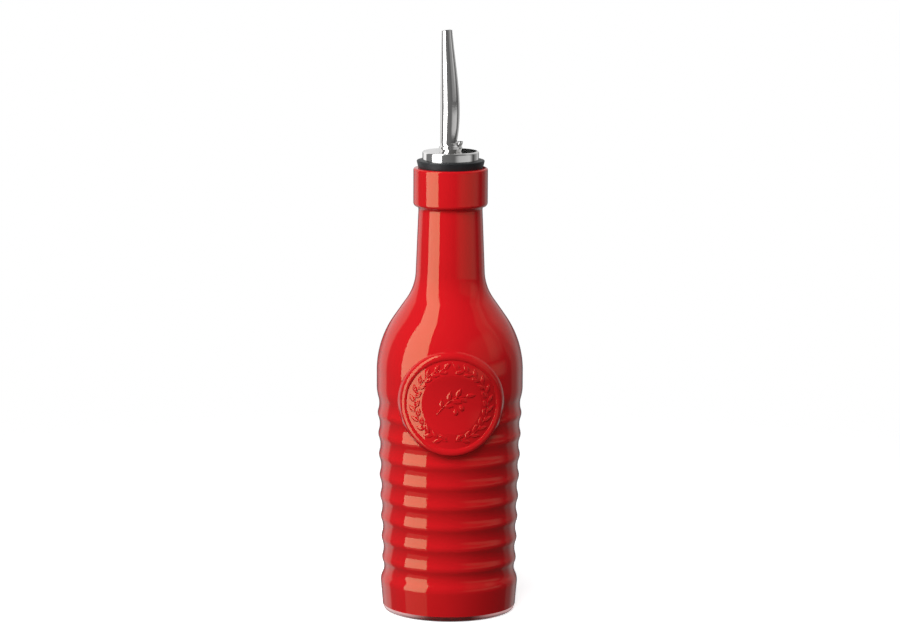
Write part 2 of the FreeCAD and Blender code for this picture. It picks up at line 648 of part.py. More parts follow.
def make_stopper():
    """Rubber: a flange on the lip, a finned plug in the neck and a low boss inside the collar."""
    body = new_body("stopper", "sizes.bottle_height")
    bore = (size("inlet_radius") + size("turning_gap"), "sizes.inlet_radius + sizes.turning_gap")
    tip = (-size("plug_length"), "-sizes.plug_length")
    shank = (size("plug_tip_taper") - size("plug_length"), "sizes.plug_tip_taper - sizes.plug_length")
    seat = (0, "0")
    boss = (size("collar_radius") - size("sheet") - size("boss_gap"),
            "sizes.collar_radius - sizes.sheet - sizes.boss_gap")
    boss_top = (size("flange_thickness") + size("boss_height"),
                "sizes.flange_thickness + sizes.boss_height")
    draw = Outline(body, "stopper_outline")
    draw.polygon([
        (bore, tip),
        (named("plug_tip_radius"), tip),
        (named("plug_radius"), shank),
        (named("plug_radius"), seat),
        (named("flange_seat_radius"), seat),
        (named("flange_radius"), named("flange_thickness")),
        (boss, named("flange_thickness")),
        (boss, boss_top),
        (bore, boss_top),
    ])
    plug = revolve(body, "Revolution", "plug_and_flange", draw)
    edges = ring_edges(plug, (size("flange_radius"), size("flange_thickness")))
    fillet(body, "flange_round", plug, edges, "flange_round")

    root = (size("plug_radius") - size("fin_thickness") / 2, "sizes.plug_radius - sizes.fin_thickness / 2")
    edge = (size("mouth_radius") - size("fin_clearance"), "sizes.mouth_radius - sizes.fin_clearance")
    top = (-size("first_fin_depth"), "-sizes.first_fin_depth")
    low = (top[0] - size("fin_thickness"), f"{top[1]} - sizes.fin_thickness")
    foot = (low[0] - size("fin_slope"), f"{low[1]} - sizes.fin_slope")
    draw = Outline(body, "fin_outline")
    draw.polygon([(root, foot), (edge, low), (edge, top), (root, top)])
    fin = revolve(body, "Revolution", "fin", draw)
    doc.recompute()
    pattern = body.newObject("PartDesign::LinearPattern", "fins")
    pattern.Originals = [fin]
    pattern.Direction = (draw.sketch, ["V_Axis"])
    pattern.Reversed = True
    pattern.Occurrences = round(size("fin_count"))
    pattern.setExpression("Occurrences", "sizes.fin_count")
    pattern.setExpression("Length", "(sizes.fin_count - 1) * sizes.fin_pitch")
    body.Tip = pattern
    return body


def make_collar():
    """Pressed steel cap over the stopper's boss, with a hole for the inlet tube."""
    body = new_body("collar", "sizes.bottle_height + sizes.flange_thickness")
    hole = (size("inlet_radius") + size("braze_gap"), "sizes.inlet_radius + sizes.braze_gap")
    inside = (size("collar_radius") - size("sheet"), "sizes.collar_radius - sizes.sheet")
    under = (size("collar_height") - size("sheet"), "sizes.collar_height - sizes.sheet")
    seat = (0, "0")
    draw = Outline(body, "collar_outline")
    draw.polygon([
        (hole, under),
        (inside, under),
        (inside, seat),
        (named("collar_radius"), seat),
        (named("collar_radius"), named("collar_height")),
        (hole, named("collar_height")),
    ])
    cap = revolve(body, "Revolution", "cap", draw)
    edges = ring_edges(cap, (size("collar_radius"), size("collar_height")))
    outer = fillet(body, "collar_round", cap, edges, "collar_round")
    edges = ring_edges(outer, (inside[0], under[0]))
    inner = body.newObject("PartDesign::Fillet", "collar_inner_round")
    inner.Base = (outer, edges)
    inner.setExpression("Radius", "sizes.collar_round - sizes.sheet")
    return body


def make_inlet_tube():
    """Straight tube from the neck up through the stopper and the collar, into the spout's foot."""
    body = new_body("inlet_tube", "sizes.bottle_height")
    draw = Outline(body, "inlet_outline", "XY_Plane", "-sizes.inlet_length")
    bore = size("inlet_radius") - size("inlet_wall")
    ring(draw, (0, "0"), named("inlet_radius"), (bore, "sizes.inlet_radius - sizes.inlet_wall"))
    length = "sizes.inlet_length + sizes.flange_thickness + sizes.collar_height + sizes.inlet_stub"
    solid_feature(body, "Pad", "inlet", draw, Length=f"={length}")
    return body


def ring(draw, across, *radii):
    """Circles about one centre on the x axis, each radius a (value, expression) pair."""
    for radius, text in radii:
        circle = draw.circle((across[0], 0), radius)
        draw.rule("Radius", circle, radius, to=text)
        draw.rule("PointOnObject", circle, 3, -1)
        draw.place(circle, 3, x=across)


def loft(body, kind, name, sections):
    """A loft through circles. Each section is (level, shift towards the pour, radius)."""
    sketches = []
    for number, (level, shift, radius) in enumerate(sections, start=1):
        draw = Outline(body, f"{name}_{number}", "XY_Plane", level[1])
        ring(draw, (-shift[0], f"-({shift[1]})"), radius)
        sketches.append(draw.sketch)
    feature = body.newObject(f"PartDesign::{kind}", name)
    feature.Profile = sketches[0]
    feature.Sections = sketches[1:]
    return feature


def spout_sections(shrink=None):
    """The spout's circles from the top of its foot to its tip, less a wall when shrink is given."""
    sections = []
    for place, level in (
        ("foot", "spout_flare_height"),
        ("belly", "spout_belly_height"),
        ("waist", "spout_waist_height"),
        ("tip", "spout_length"),
    ):
        radius = named(f"spout_{place}_radius")
        if shrink:
            radius = (radius[0] - size(shrink), f"{radius[1]} - sizes.{shrink}")
        sections.append((named(level), named(f"spout_{place}_shift"), radius))
    return sections


def vent_spine(body, name):
    """Up inside the inlet tube, out through the spout's foot and up again: two equal bends."""
    draw = Outline(body, name)
    bend = size("vent_bend")
    near = size("vent_offset")
    far = size("vent_reach")
    start = size("vent_bend_start")
    drop = size("collar_height") + size("flange_thickness") + size("inlet_length") + size("vent_tail")
    angle = math.acos(1 - (far - near) / (2 * bend))
    top = start + 2 * bend * math.sin(angle)
    middle = ((near + far) / 2, (start + top) / 2)
    tube = draw.line((near, -drop), (near, start))
    first = draw.arc((near + bend, start), bend, middle, (near, start))
    second = draw.arc((far - bend, top), bend, middle, (far, top))
    end = draw.line((far, top), (far, top + size("vent_end_length")))
    draw.rule("Tangent", tube, 2, first, 2)
    draw.rule("Tangent", first, 1, second, 1)
    draw.rule("Tangent", second, 2, end, 1)
    draw.rule("Vertical", tube)
    draw.rule("Vertical", end)
    draw.rule("Radius", first, bend, to="sizes.vent_bend")
    draw.rule("Radius", second, bend, to="sizes.vent_bend")
    bottom = "-(sizes.collar_height + sizes.flange_thickness + sizes.inlet_length + sizes.vent_tail)"
    draw.place(tube, 1, named("vent_offset"), (-drop, bottom))
    draw.place(tube, 2, y=named("vent_bend_start"))
    draw.place(end, 1, x=named("vent_reach"))
    draw.rule("Distance", end, size("vent_end_length"), to="sizes.vent_end_length")
    return draw, (-drop, bottom)


def vent_pipe(body, kind, name, *radii):
    """A round pipe along the vent tube's path."""
    spine, bottom = vent_spine(body, f"{name}_path")
    profile = Outline(body, f"{name}_circle", "XY_Plane", bottom[1])
    ring(profile, named("vent_offset"), *radii)
    feature = solid_feature(body, kind, name, profile, Spine=spine.sketch)
    return feature


def make_spout():
    """Tapered, bowed tube that flares onto a rimmed foot, its tip cut at a slant, let in for the vent."""
    body = new_body("spout", "sizes.bottle_height + sizes.flange_thickness + sizes.collar_height")
    ground = (0, "0")
    foot_top = spout_sections()[0]
    rim_top = spout_foot(body)
    loft(body, "AdditiveLoft", "flare", [
        (rim_top, ground, named("spout_flare_radius")),
        (named("spout_flare_step"), (size("spout_foot_shift") / 2, "sizes.spout_foot_shift / 2"),
         named("spout_flare_step_radius")),
        foot_top,
    ])
    loft(body, "AdditiveLoft", "tube", spout_sections())
    loft(body, "SubtractiveLoft", "tube_bore", spout_sections("spout_wall"))
    bore = (size("inlet_radius") - size("inlet_wall"), "sizes.inlet_radius - sizes.inlet_wall")
    loft(body, "SubtractiveLoft", "flare_bore", [
        (ground, ground, bore),
        spout_sections("spout_wall")[0],
    ])
    socket = Outline(body, "socket_circle", "XY_Plane")
    ring(socket, ground, (size("inlet_radius") + size("braze_gap"), "sizes.inlet_radius + sizes.braze_gap"))
    solid_feature(body, "Pocket", "socket", socket, Length="=sizes.inlet_stub + sizes.braze_gap",
                  Reversed=True)
    hole = (size("vent_radius") + size("braze_gap"), "sizes.vent_radius + sizes.braze_gap")
    vent_pipe(body, "SubtractivePipe", "vent_hole", hole)
    spout_tip_cut(body)
    return body


def spout_foot(body):
    """Low stem on the collar that widens into a rounded rim. Gives the height of the rim's top."""
    half = size("spout_rim_thickness") / 2
    under = (size("spout_rim_height") - half, "sizes.spout_rim_height - sizes.spout_rim_thickness / 2")
    top = (size("spout_rim_height") + half, "sizes.spout_rim_height + sizes.spout_rim_thickness / 2")
    draw = Outline(body, "foot_outline")
    draw.polygon([
        ((0, "0"), (0, "0")),
        (named("spout_stem_radius"), (0, "0")),
        (named("spout_rim_radius"), under),
        (named("spout_rim_radius"), top),
        ((0, "0"), top),
    ])
    foot = revolve(body, "Revolution", "foot", draw)
    rim = size("spout_rim_radius")
    edges = ring_edges(foot, (rim, under[0]), (rim, top[0]))
    fillet(body, "spout_rim_round", foot, edges, "spout_rim_round")
    return top


def spout_tip_cut(body):
    """Cuts the tip at a slant, lower on the side that pours."""
    slant = math.radians(size("spout_tip_cut"))
    reach = size("spout_rim_radius")
    high = (size("spout_tip_radius") - size("spout_tip_shift"),
            "sizes.spout_tip_radius - sizes.spout_tip_shift")
    low = (-reach, "-sizes.spout_rim_radius")
    top = (size("spout_length"), "sizes.spout_length")
    fall = (high[0] - low[0]) * math.tan(slant)
    cut = (top[0] - fall, f"{top[1]} - ({high[1]} - ({low[1]})) * tan(sizes.spout_tip_cut * 1 deg)")
    above = (top[0] + reach, f"{top[1]} + sizes.spout_rim_radius")
    draw = Outline(body, "tip_outline")
    draw.polygon([(low, cut), (high, top), (high, above), (low, above)])
    solid_feature(body, "Pocket", "tip_cut", draw, Midplane=True, Length="=4 * sizes.spout_rim_radius")


def make_vent_tube():
    """Small breather tube, open at both ends."""
    body = new_body("vent_tube", "sizes.bottle_height + sizes.flange_thickness + sizes.collar_height")
    vent_pipe(body, "AdditivePipe", "vent", named("vent_radius"), named("vent_bore"))
    return body


def check(objects):
    """Stops if anything failed to build."""
    for item in objects:
        if {"Invalid", "Error"} & set(item.State):
            raise RuntimeError(f"{item.Label}: {item.getStatusString()}")
    for body in doc.findObjects("PartDesign::Body"):
        if body.Shape.isNull() or not body.Shape.isValid() or len(body.Shape.Solids) != 1:
            raise RuntimeError(f"{body.Label} is not one valid solid")


make_bottle()
make_stopper()
make_collar()
make_inlet_tube()
make_spout()
make_vent_tube()
doc.recompute()
check(doc.Objects)

os.makedirs("parts", exist_ok=True)
for body in doc.findObjects("PartDesign::Body"):
    body.Shape.exportStep(f"parts/{body.Label}.step")
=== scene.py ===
from math import acos, asin, atan, atan2, ceil, cos, dist, hypot, pi, radians, sin, sqrt, tan

import bpy
import numpy as np
from bpy.props import FloatProperty, FloatVectorProperty, IntProperty, PointerProperty
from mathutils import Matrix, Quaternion, Vector


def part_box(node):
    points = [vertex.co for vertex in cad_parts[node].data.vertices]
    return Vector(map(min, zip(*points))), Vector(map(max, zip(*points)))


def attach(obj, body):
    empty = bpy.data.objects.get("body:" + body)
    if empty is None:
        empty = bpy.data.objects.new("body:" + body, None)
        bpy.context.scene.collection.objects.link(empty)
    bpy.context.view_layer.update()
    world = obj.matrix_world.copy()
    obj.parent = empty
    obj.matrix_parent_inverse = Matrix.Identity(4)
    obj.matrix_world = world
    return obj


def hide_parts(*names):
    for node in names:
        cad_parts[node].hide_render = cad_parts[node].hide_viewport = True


bl_info = {
    "name": "Glass oil bottle",
    "version": (1, 0, 0),
    "blender": (4, 5, 0),
    "location": "View3D > Sidebar > Oil bottle",
    "description": "Lacquered glass oil bottle with a lift-out steel pourer, and its studio",
    "category": "Add Mesh",
}

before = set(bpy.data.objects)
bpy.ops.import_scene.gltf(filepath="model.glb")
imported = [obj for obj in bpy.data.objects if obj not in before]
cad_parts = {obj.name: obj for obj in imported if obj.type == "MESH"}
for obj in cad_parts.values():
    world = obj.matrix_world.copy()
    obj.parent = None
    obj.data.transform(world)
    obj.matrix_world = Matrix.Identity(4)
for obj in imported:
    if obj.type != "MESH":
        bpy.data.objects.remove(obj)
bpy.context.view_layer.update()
GLASS_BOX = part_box("bottle")
MM = 0.001
BLACK = (0.0, 0.0, 0.0)
# between points of an outline: on the wall that the seal is laid on, and in the meshes
WALL_STEP, MESH_STEP = 0.08 * MM, 0.9 * MM
# the fine grid on the front: cells from its middle to its edge, half its width as a turn, half its height
SEAL_CELLS, SEAL_TURN, SEAL_TALL = 76, radians(62.0), 28.4 * MM
# columns behind that grid, and rows below and above it
BACK_COLUMNS, BELOW_ROWS, ABOVE_ROWS = 64, 95, 61
# points of an outline that lie closer are one
TOUCH = 1e-7
# what a point on the flat seal stands for
STEM, LEAF, OLIVE = 0.0, 1.0, 2.0


def length(name, description, default):
    """A size in metres, its default given in millimetres."""
    return FloatProperty(
        name=name, description=description, default=default * MM, unit="LENGTH", subtype="DISTANCE")


def angle(name, description, default):
    """An angle, its default given in degrees."""
    return FloatProperty(
        name=name, description=description, default=radians(default), unit="ROTATION", subtype="ANGLE")


def colour(name, description, default):
    return FloatVectorProperty(
        name=name, description=description, default=default, size=3, subtype="COLOR", min=0.0, max=1.0)


def power(name, description, default):
    return FloatProperty(name=name, description=description, default=default, unit="POWER", min=0.0)


class GlassSizes(bpy.types.PropertyGroup):
    """Sizes of the glass body, outside and inside."""
    height: length("Height", "Ground to the top of the lip", GLASS_BOX[1].z / MM)
    body_radius: length("Body radius", "Plain band between ribs and shoulder", GLASS_BOX[1].x / MM)
    foot_radius: length("Foot radius", "Outer edge of the ring it stands on", 26.7)
    foot_inner_radius: length("Inner foot radius", "Inner edge of that ring", 23.5)
    foot_corner: length("Foot corner", "Radius of the lowest corner", 3.0)
    heel_radius: length("Heel radius", "Widest part above the foot", 30.57)
    heel_height: length("Heel height", "Height of that widest part", 13.2)
    heel_curve: length("Heel curve", "Radius of its rounded top", 6.6)
    waist_curve: length("Waist curve", "Hollow between heel and first rib", 6.8)
    rib_count: IntProperty(name="Ribs", description="Ribs round the body", default=8, min=1)
    rib_pitch: length("Rib pitch", "From rib to rib, along the axis", 9.37)
    rib_taper: angle("Rib taper", "Widening of the ribs going up", 1.8)
    rib_crest: length("Rib crest", "Radius of a rib's crest", 4.0)
    rib_valley: length("Rib valley", "Hollow between two ribs", 10.1)
    first_rib_height: length("First rib height", "Height of the lowest crest", 23.7)
    first_rib_radius: length("First rib radius", "Radius at that crest", 29.98)
    band_height: length("Band height", "Lower edge of the plain band", 101.5)
    band_curve: length("Band curve", "Arc from the last rib into the band", 17.4)
    shoulder_height: length("Shoulder height", "Where the band turns into the shoulder", 108.6)
    shoulder_curve: length("Shoulder curve", "Radius of the shoulder's arc", 42.0)
    shoulder_slope: angle("Shoulder slope", "Steepest slope of the shoulder, from upright", 35.0)
    neck_flare: length("Neck flare", "Arc between shoulder and neck", 22.5)
    neck_radius: length("Neck radius", "Foot of the neck", 15.3)
    neck_taper: angle("Neck taper", "Narrowing of the neck going up", 2.3)
    lip_height: length("Lip height", "Height of the ring round the mouth", 17.1)
    lip_radius: length("Lip radius", "Radius of that ring", 16.45)
    lip_top_round: length("Lip top round", "Upper corner of the lip", 0.9)
    lip_bottom_round: length("Lip bottom round", "Lower corner of the lip", 1.7)
    lip_root_round: length("Lip root round", "Fillet between neck and lip", 1.3)
    mouth_radius: length("Mouth radius", "Bore of the neck", 10.0)
    mouth_round: length("Mouth round", "Inner edge of the mouth", 1.2)
    inner_flare: length("Inner flare", "Arc between inner shoulder and bore", 26.0)
    wall: length("Wall", "Glass thickness at the plain band", 4.0)
    base_height: length("Base height", "Ground to the middle of the floor inside", 10.6)
    base_corner: length("Base corner", "Between floor and wall inside", 7.0)
    punt_depth: length("Punt depth", "Hollow under the bottle", 3.6)
    grip_count: IntProperty(name="Grip marks", description="Moulded marks round the foot", default=84, min=3)
    grip_length: length("Grip length", "Length of a grip mark", 1.3)
    lacquer_edge: length("Lacquer edge", "Where the lacquer ends above the clear foot", 3.0)


class SealSizes(bpy.types.PropertyGroup):
    """Sizes of the round raised seal on the front."""
    height: length("Height", "Height of its centre", 98.6)
    radius: length("Radius", "Outer foot of its rim", 23.4)
    rim_width: length("Rim width", "Outer foot to inner foot of the rim", 3.8)
    field_relief: length("Field relief", "Field above the plain band", 0.7)
    rim_relief: length("Rim relief", "Rim above the field", 0.85)
    rim_flank: length("Rim flank", "Its rounded outer edge", 1.0)
    dish_radius: length("Dish radius", "Shallow dish in its middle", 12.9)
    dish_depth: length("Dish depth", "Depth of that dish", 1.2)
    wreath_radius: length("Wreath radius", "Middle of the ring of leaves", 16.1)
    leaf_count: IntProperty(name="Leaves", description="Leaves round the wreath", default=44, min=4)
    leaf_length: length("Leaf length", "Length of a leaf", 4.2)
    leaf_width: length("Leaf width", "Width of a leaf", 2.1)
    leaf_rise: length("Leaf rise", "Rise of a leaf from the glass", 0.5)
    leaf_tilt: angle("Leaf tilt", "Turn of a leaf away from the ring", 32.0)
    olive_radius: length("Olive radius", "Half the width of an olive", 0.85)
    stem_radius: length("Stem radius", "Half the width of a stem", 0.28)


class FinishSettings(bpy.types.PropertyGroup):
    """Colours and finish of the bottle and its pourer."""
    lacquer: colour("Lacquer", "The lacquer on the glass", (0.61, 0.0058, 0.0124))
    lacquer_deep: colour("Lacquer, deep", "The lacquer's darker mottling", (0.55, 0.0046, 0.0090))
    sheen: colour("Sheen", "Tint of what the lacquer mirrors", (0.70, 0.93, 0.52))
    glass: colour("Glass", "The clear glass", (1.0, 0.68, 0.66))
    # painted shade: the darker glass colour painted in the middle of the foot's front and back, where the
    # lacquer shows through
    glass_painted_shade: colour("Glass, deep", "Clear glass where the lacquer shows through", (0.32, 0.045, 0.04))
    # painted glow: light painted into the sides of the foot as emission, standing for light gathered from the
    # ground
    glass_painted_glow: colour("Glass, lit", "Light that leaves it at the sides of the foot", (0.3, 0.17, 0.17))
    steel: colour("Steel", "The polished steel", (0.86, 0.85, 0.84))
    rubber: colour("Rubber", "The stopper", (0.009, 0.010, 0.011))
    wave: FloatProperty(
        name="Glass wave", description="Strength of the slow waves in the glass", default=0.2, min=0.0,
        max=1.0, subtype="FACTOR")


class StudioSettings(bpy.types.PropertyGroup):
    """Camera, lamps and floor."""
    camera_distance: length("Camera distance", "To the bottle's axis, along the ground", 1600.0)
    camera_height: length("Camera height", "Camera above the ground", 390.0)
    camera_turn: angle("Camera turn", "Turn of the camera round the bottle", -1.5)
    aim_height: length("Aim height", "Height on the axis that it is aimed at", 130.0)
    camera_roll: angle("Camera roll", "Lean of the camera", 0.25)
    lens: FloatProperty(name="Lens", description="Focal length", default=0.146, unit="CAMERA", min=0.01)
    key: power("Key", "Tall soft light on the left", 2.5)
    key_mirrored: power("Key, mirrored", "That light as gloss shows it", 6.7)
    table_mirrored: power("Table, mirrored", "The lit table below it as gloss shows it", 0.12)
    card: power("Card", "Grey card on the right", 0.8)
    card_mirrored: power("Card, mirrored", "That card as gloss shows it", 0.38)
    high_mirrored: power("High card, mirrored", "A dim card above it as gloss shows it", 0.3)
    side_mirrored: power("Side card, mirrored", "The high card beside it as gloss shows it", 0.25)
    fill: power("Fill", "Soft light above the camera", 8.9)
    back: power("Back", "Light from behind on the right", 0.5)
    floor: colour("Floor", "Colour of the floor", (0.86, 0.86, 0.86))


# ---- outlines and turned meshes

class Outline:
    """A profile in (radius, height), drawn by lines and arcs, with the normal at every point."""

    def __init__(self):
        self.points = []
        self.normals = []

    def _add(self, points, normals):
        """Adds points, but not one that lies on the last."""
        for point, normal in zip(points, normals):
            if not self.points or dist(point, self.points[-1]) > TOUCH:
                self.points.append(tuple(point))
                self.normals.append(tuple(normal))

    def line(self, start, end, step):
        count = max(2, 1 + ceil(dist(start, end) / step))
        along = np.subtract(end, start) / dist(start, end)
        normal = (along[1], -along[0])
        self._add(np.linspace(start, end, count), [normal] * count)

    def arc(self, centre, radius, start, end, step, hollow=False):
        """From start to end, both angles. hollow is for an arc whose centre lies outside the material."""
        count = max(3, 1 + ceil(abs(end - start) * radius / step))
        turn = np.linspace(start, end, count)
        way = np.stack([np.cos(turn), np.sin(turn)], axis=1)
        self._add(np.add(centre, way * radius), -way if hollow else way)


def heading(centre, point):
    return atan2(point[1] - centre[1], point[0] - centre[0])


def hollow_centre(lower, lower_radius, upper, upper_radius, radius):
    """Centre of the arc that lies in the hollow between two round crests and touches both."""
    low, high = lower_radius + radius, upper_radius + radius
    across, along = np.subtract(upper, lower)
    distance = hypot(across, along)
    part = (low ** 2 - high ** 2 + distance ** 2) / (2 * distance)
    offset = sqrt(low ** 2 - part ** 2)
    return (lower[0] + (part * across + offset * along) / distance,
            lower[1] + (part * along - offset * across) / distance)


def shoulder_parts(radius, curve, neck_radius, flare, taper, glass):
    """The shoulder's arc and the neck's, tangent to one straight flank: their centres, and its ends."""
    slope = glass.shoulder_slope
    out = np.array([cos(slope), sin(slope)])
    centre = radius - curve, glass.shoulder_height
    arc_end = centre + curve * out
    across = arc_end[0] - neck_radius - flare * (cos(taper) - cos(slope))
    flank_end = arc_end + (-across, across / tan(slope))
    return centre, arc_end, flank_end, flank_end + flare * out


def outside_outline(glass, step):
    """The glass from the foot's outer edge up to the underside of the lip."""
    draw = Outline()
    foot = (glass.foot_radius, glass.foot_corner)
    heel = (glass.heel_radius - glass.heel_curve, glass.heel_height)
    across, along = heel[0] - foot[0], heel[1] - foot[1]
    tilt = atan2(across, along)
    tilt += asin((glass.heel_curve - glass.foot_corner) / hypot(across, along))
    draw.arc(foot, glass.foot_corner, -pi / 2, -tilt, step)
    way = np.array([cos(tilt), -sin(tilt)])
    draw.line(draw.points[-1], heel + way * glass.heel_curve, step)

    crests = [(heel, glass.heel_curve)]
    for number in range(glass.rib_count):
        rise = number * glass.rib_pitch
        radius = glass.first_rib_radius + rise * tan(glass.rib_taper)
        crests.append(((radius - glass.rib_crest, glass.first_rib_height + rise), glass.rib_crest))
    body = glass.body_radius
    crests.append(((body - glass.band_curve, glass.band_height), glass.band_curve))
    start = -tilt
    for number, ((centre, radius), (above, above_radius)) in enumerate(zip(crests, crests[1:])):
        bend = glass.rib_valley if number else glass.waist_curve
        valley = hollow_centre(centre, radius, above, above_radius, bend)
        end = heading(centre, valley)
        next_start = heading(above, valley)
        draw.arc(centre, radius, start, end, step)
        draw.arc(valley, bend, end - pi, next_start - pi, step, hollow=True)
        start = next_start
    draw.arc(crests[-1][0], glass.band_curve, start, 0.0, step)
    draw.line((body, glass.band_height), (body, glass.shoulder_height), step)

    curve, flare = glass.shoulder_curve, glass.neck_flare
    slope, taper = glass.shoulder_slope, glass.neck_taper
    shoulder, arc_end, flank_end, neck = shoulder_parts(body, curve, glass.neck_radius, flare, taper, glass)
    draw.arc(shoulder, curve, 0.0, slope, step)
    draw.line(arc_end, flank_end, step)
    draw.arc(neck, flare, pi + slope, pi + taper, step, hollow=True)
    start = draw.points[-1]
    bend = glass.lip_root_round + glass.lip_bottom_round
    lip_base = glass.height - glass.lip_height
    top_radius = start[0] - (lip_base - start[1]) * tan(taper)
    turn = acos(1 - (glass.lip_radius - top_radius) / bend)
    root_height = lip_base + glass.lip_bottom_round - bend * sin(turn)
    root_radius = start[0] - (root_height - start[1]) * tan(taper)
    draw.line(start, (root_radius, root_height), step)
    return draw, (root_radius, root_height, turn)


def closing_outline(glass, root, step):
    """From the top of the neck over the lip, down the bore, through the room for the oil and the foot."""
    draw = Outline()
    root_radius, root_height, turn = root
    fine, flat, wide = 0.4 * step, 2 * step, 3.5 * step
    draw.arc((root_radius + glass.lip_root_round, root_height), glass.lip_root_round,
             pi, pi - turn, fine, hollow=True)
    lip, height = glass.lip_radius, glass.height
    under, over = glass.lip_bottom_round, glass.lip_top_round
    draw.arc((lip - under, height - glass.lip_height + under), under, -turn, 0.0, fine)
    draw.line(draw.points[-1], (lip, height - over), flat)
    draw.arc((lip - over, height - over), over, 0.0, pi / 2, fine)
    bore, mouth_round = glass.mouth_radius, glass.mouth_round
    draw.line((lip - over, height), (bore + mouth_round, height), flat)
    draw.arc((bore + mouth_round, height - mouth_round), mouth_round, pi / 2, pi, fine)

    inner, curve = glass.body_radius - glass.wall, glass.shoulder_curve - glass.wall
    flare, slope = glass.inner_flare, glass.shoulder_slope
    shoulder, arc_end, flank_end, neck = shoulder_parts(inner, curve, bore, flare, 0.0, glass)
    draw.line((bore, height - mouth_round), (bore, neck[1]), 3 * flat)
    draw.arc(neck, flare, pi, pi + slope, wide)
    draw.normals[-1:] = [(-cos(slope), -sin(slope))]
    draw.line(flank_end, arc_end, wide)
    draw.arc(shoulder, curve, slope, 0.0, wide, hollow=True)

    punt = (glass.foot_inner_radius ** 2 + glass.punt_depth ** 2) / (2 * glass.punt_depth)
    floor = (0.0, glass.punt_depth - punt)
    dome = glass.base_height - floor[1]
    taper = glass.rib_taper
    # the rounded corner inside touches the wall and the domed floor
    inward = np.array([-cos(taper), sin(taper)]) * glass.base_corner
    up = np.array([sin(taper), cos(taper)])
    away = inward + (inner, glass.shoulder_height) - floor
    along = np.dot(away, up)
    drop = along - sqrt(along ** 2 - np.dot(away, away) + (dome + glass.base_corner) ** 2)
    corner = floor + away - up * drop
    draw.line((inner, glass.shoulder_height), corner - inward, wide)
    draw.arc(corner, glass.base_corner, -taper, heading(corner, floor), step, hollow=True)
    draw.arc(floor, dome, heading(floor, draw.points[-1]), pi / 2, wide)
    return draw, (floor, punt)


def under_outline(glass, floor, punt, step):
    """The hollow under the bottle and the ring that it stands on."""
    draw = Outline()
    start = heading(floor, (glass.foot_inner_radius, 0.0))
    draw.arc(floor, punt, pi / 2, start, 3 * step, hollow=True)
    draw.line((glass.foot_inner_radius, 0.0), (glass.foot_radius, 0.0), step)
    return draw


class Wall:
    """The outside of the glass as a radius over height, with the seal's relief on its front."""

    def __init__(self, glass, seal, outline):
        points, normals = np.array(outline.points), np.array(outline.normals)
        self.glass, self.seal = glass, seal
        self.heights, self.radii = points[:, 1], points[:, 0]
        self.slopes = -normals[:, 1] / np.maximum(normals[:, 0], 1e-6)

    def radius(self, z):
        return np.interp(z, self.heights, self.radii)

    def slope(self, z):
        return np.interp(z, self.heights, self.slopes)

    def plain(self, z):
        """The plain band and the shoulder above it, without the ribs."""
        glass = self.glass
        rise = np.clip(z - glass.shoulder_height, 0.0, None)
        return glass.body_radius - glass.shoulder_curve + np.sqrt(glass.shoulder_curve ** 2 - rise ** 2)

    def relief(self, x, z):
        """How far the seal stands out of the wall."""
        seal = self.seal
        away = np.hypot(x, z - seal.height)
        half = 0.5 * seal.rim_width
        across = (away - seal.radius + half) / half
        fullness = 0.75
        bead = np.clip(1.0 - across ** 2, 0.0, None) ** fullness * (across > -1.0)
        dish = np.clip(1.0 - (away / seal.dish_radius) ** 2, 0.0, None)
        inside = seal.field_relief + seal.rim_relief * bead - seal.dish_depth * dish
        level = np.where(across < 0.0, inside, (seal.field_relief + seal.rim_relief) * bead)
        edge = seal.rim_flank / half
        sunk = (self.plain(z) - self.radius(z)) * np.clip((1.0 - across) / edge, 0.0, 1.0)
        return np.where(across < 1.0, level + sunk, 0.0)

    def point(self, x, z):
        """A point on the glass at sideways place x, and its outward normal."""
        total = self.radius(z) + self.relief(x, z)
        y = -np.sqrt(np.maximum(total ** 2 - x ** 2, 0.0))
        tick = 0.02 * MM
        across = (self.relief(x + tick, z) - self.relief(x - tick, z)) / (2 * tick)
        upward = (self.relief(x, z + tick) - self.relief(x, z - tick)) / (2 * tick) + self.slope(z)
        normal = np.stack([x / total - across, y / total, -upward], axis=-1)
        normal /= np.linalg.norm(normal, axis=-1, keepdims=True)
        return np.stack([x, y, z], axis=-1), normal


def ring(radius, height, turns):
    """Points round the axis at that radius and height, or normals with those parts outward and up."""
    return np.stack([radius * np.sin(turns), -radius * np.cos(turns), np.full_like(turns, height)], axis=1)


class Sheet:
    """Rows of points with normals, stitched into a mesh that is closed round the axis."""

    def __init__(self):
        self.points, self.normals = [], []

    def turned(self, outline, turns):
        for (radius, height), (out, up) in zip(outline.points, outline.normals):
            self.points.append(ring(radius, height, turns))
            self.normals.append(ring(out, up, turns))

    def mesh(self, name):
        """Poles at both ends, quads between, and the normals as drawn."""
        rows, columns = len(self.points), len(self.points[0])
        # the first row and the last are one point each
        kept = np.r_[columns:(rows - 1) * columns, 0, -1]
        verts = np.concatenate(self.points)[kept]
        vectors = np.concatenate(self.normals)[kept]
        here = np.arange(columns)
        after = (here + 1) % columns
        faces = []
        for low in range(0, (rows - 3) * columns, columns):
            high = low + columns
            faces += np.stack([low + here, low + after, high + after, high + here], axis=1).tolist()
        bottom, top = len(verts) - 2, len(verts) - 1
        for this, following in zip(here.tolist(), after.tolist()):
            faces += [[bottom, following, this], [high + this, high + following, top]]
        mesh = bpy.data.meshes.new(name)
        mesh.from_pydata(verts.tolist(), [], faces, shade_flat=False)
        mesh.normals_split_custom_set_from_vertices(vectors.tolist())
        mesh.validate()
        return mesh


def put(name, data):
    """A new object in the scene."""
    thing = bpy.data.objects.new(name, data)
    bpy.context.scene.collection.objects.link(thing)
    return thing


def shown(name, mesh, body, slot, *nodes):
    """Puts a finished mesh in the scene, riding on a body and standing for CAD nodes."""
    piece = put(name, mesh)
    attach(piece, body)
    if nodes:
        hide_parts(*nodes)


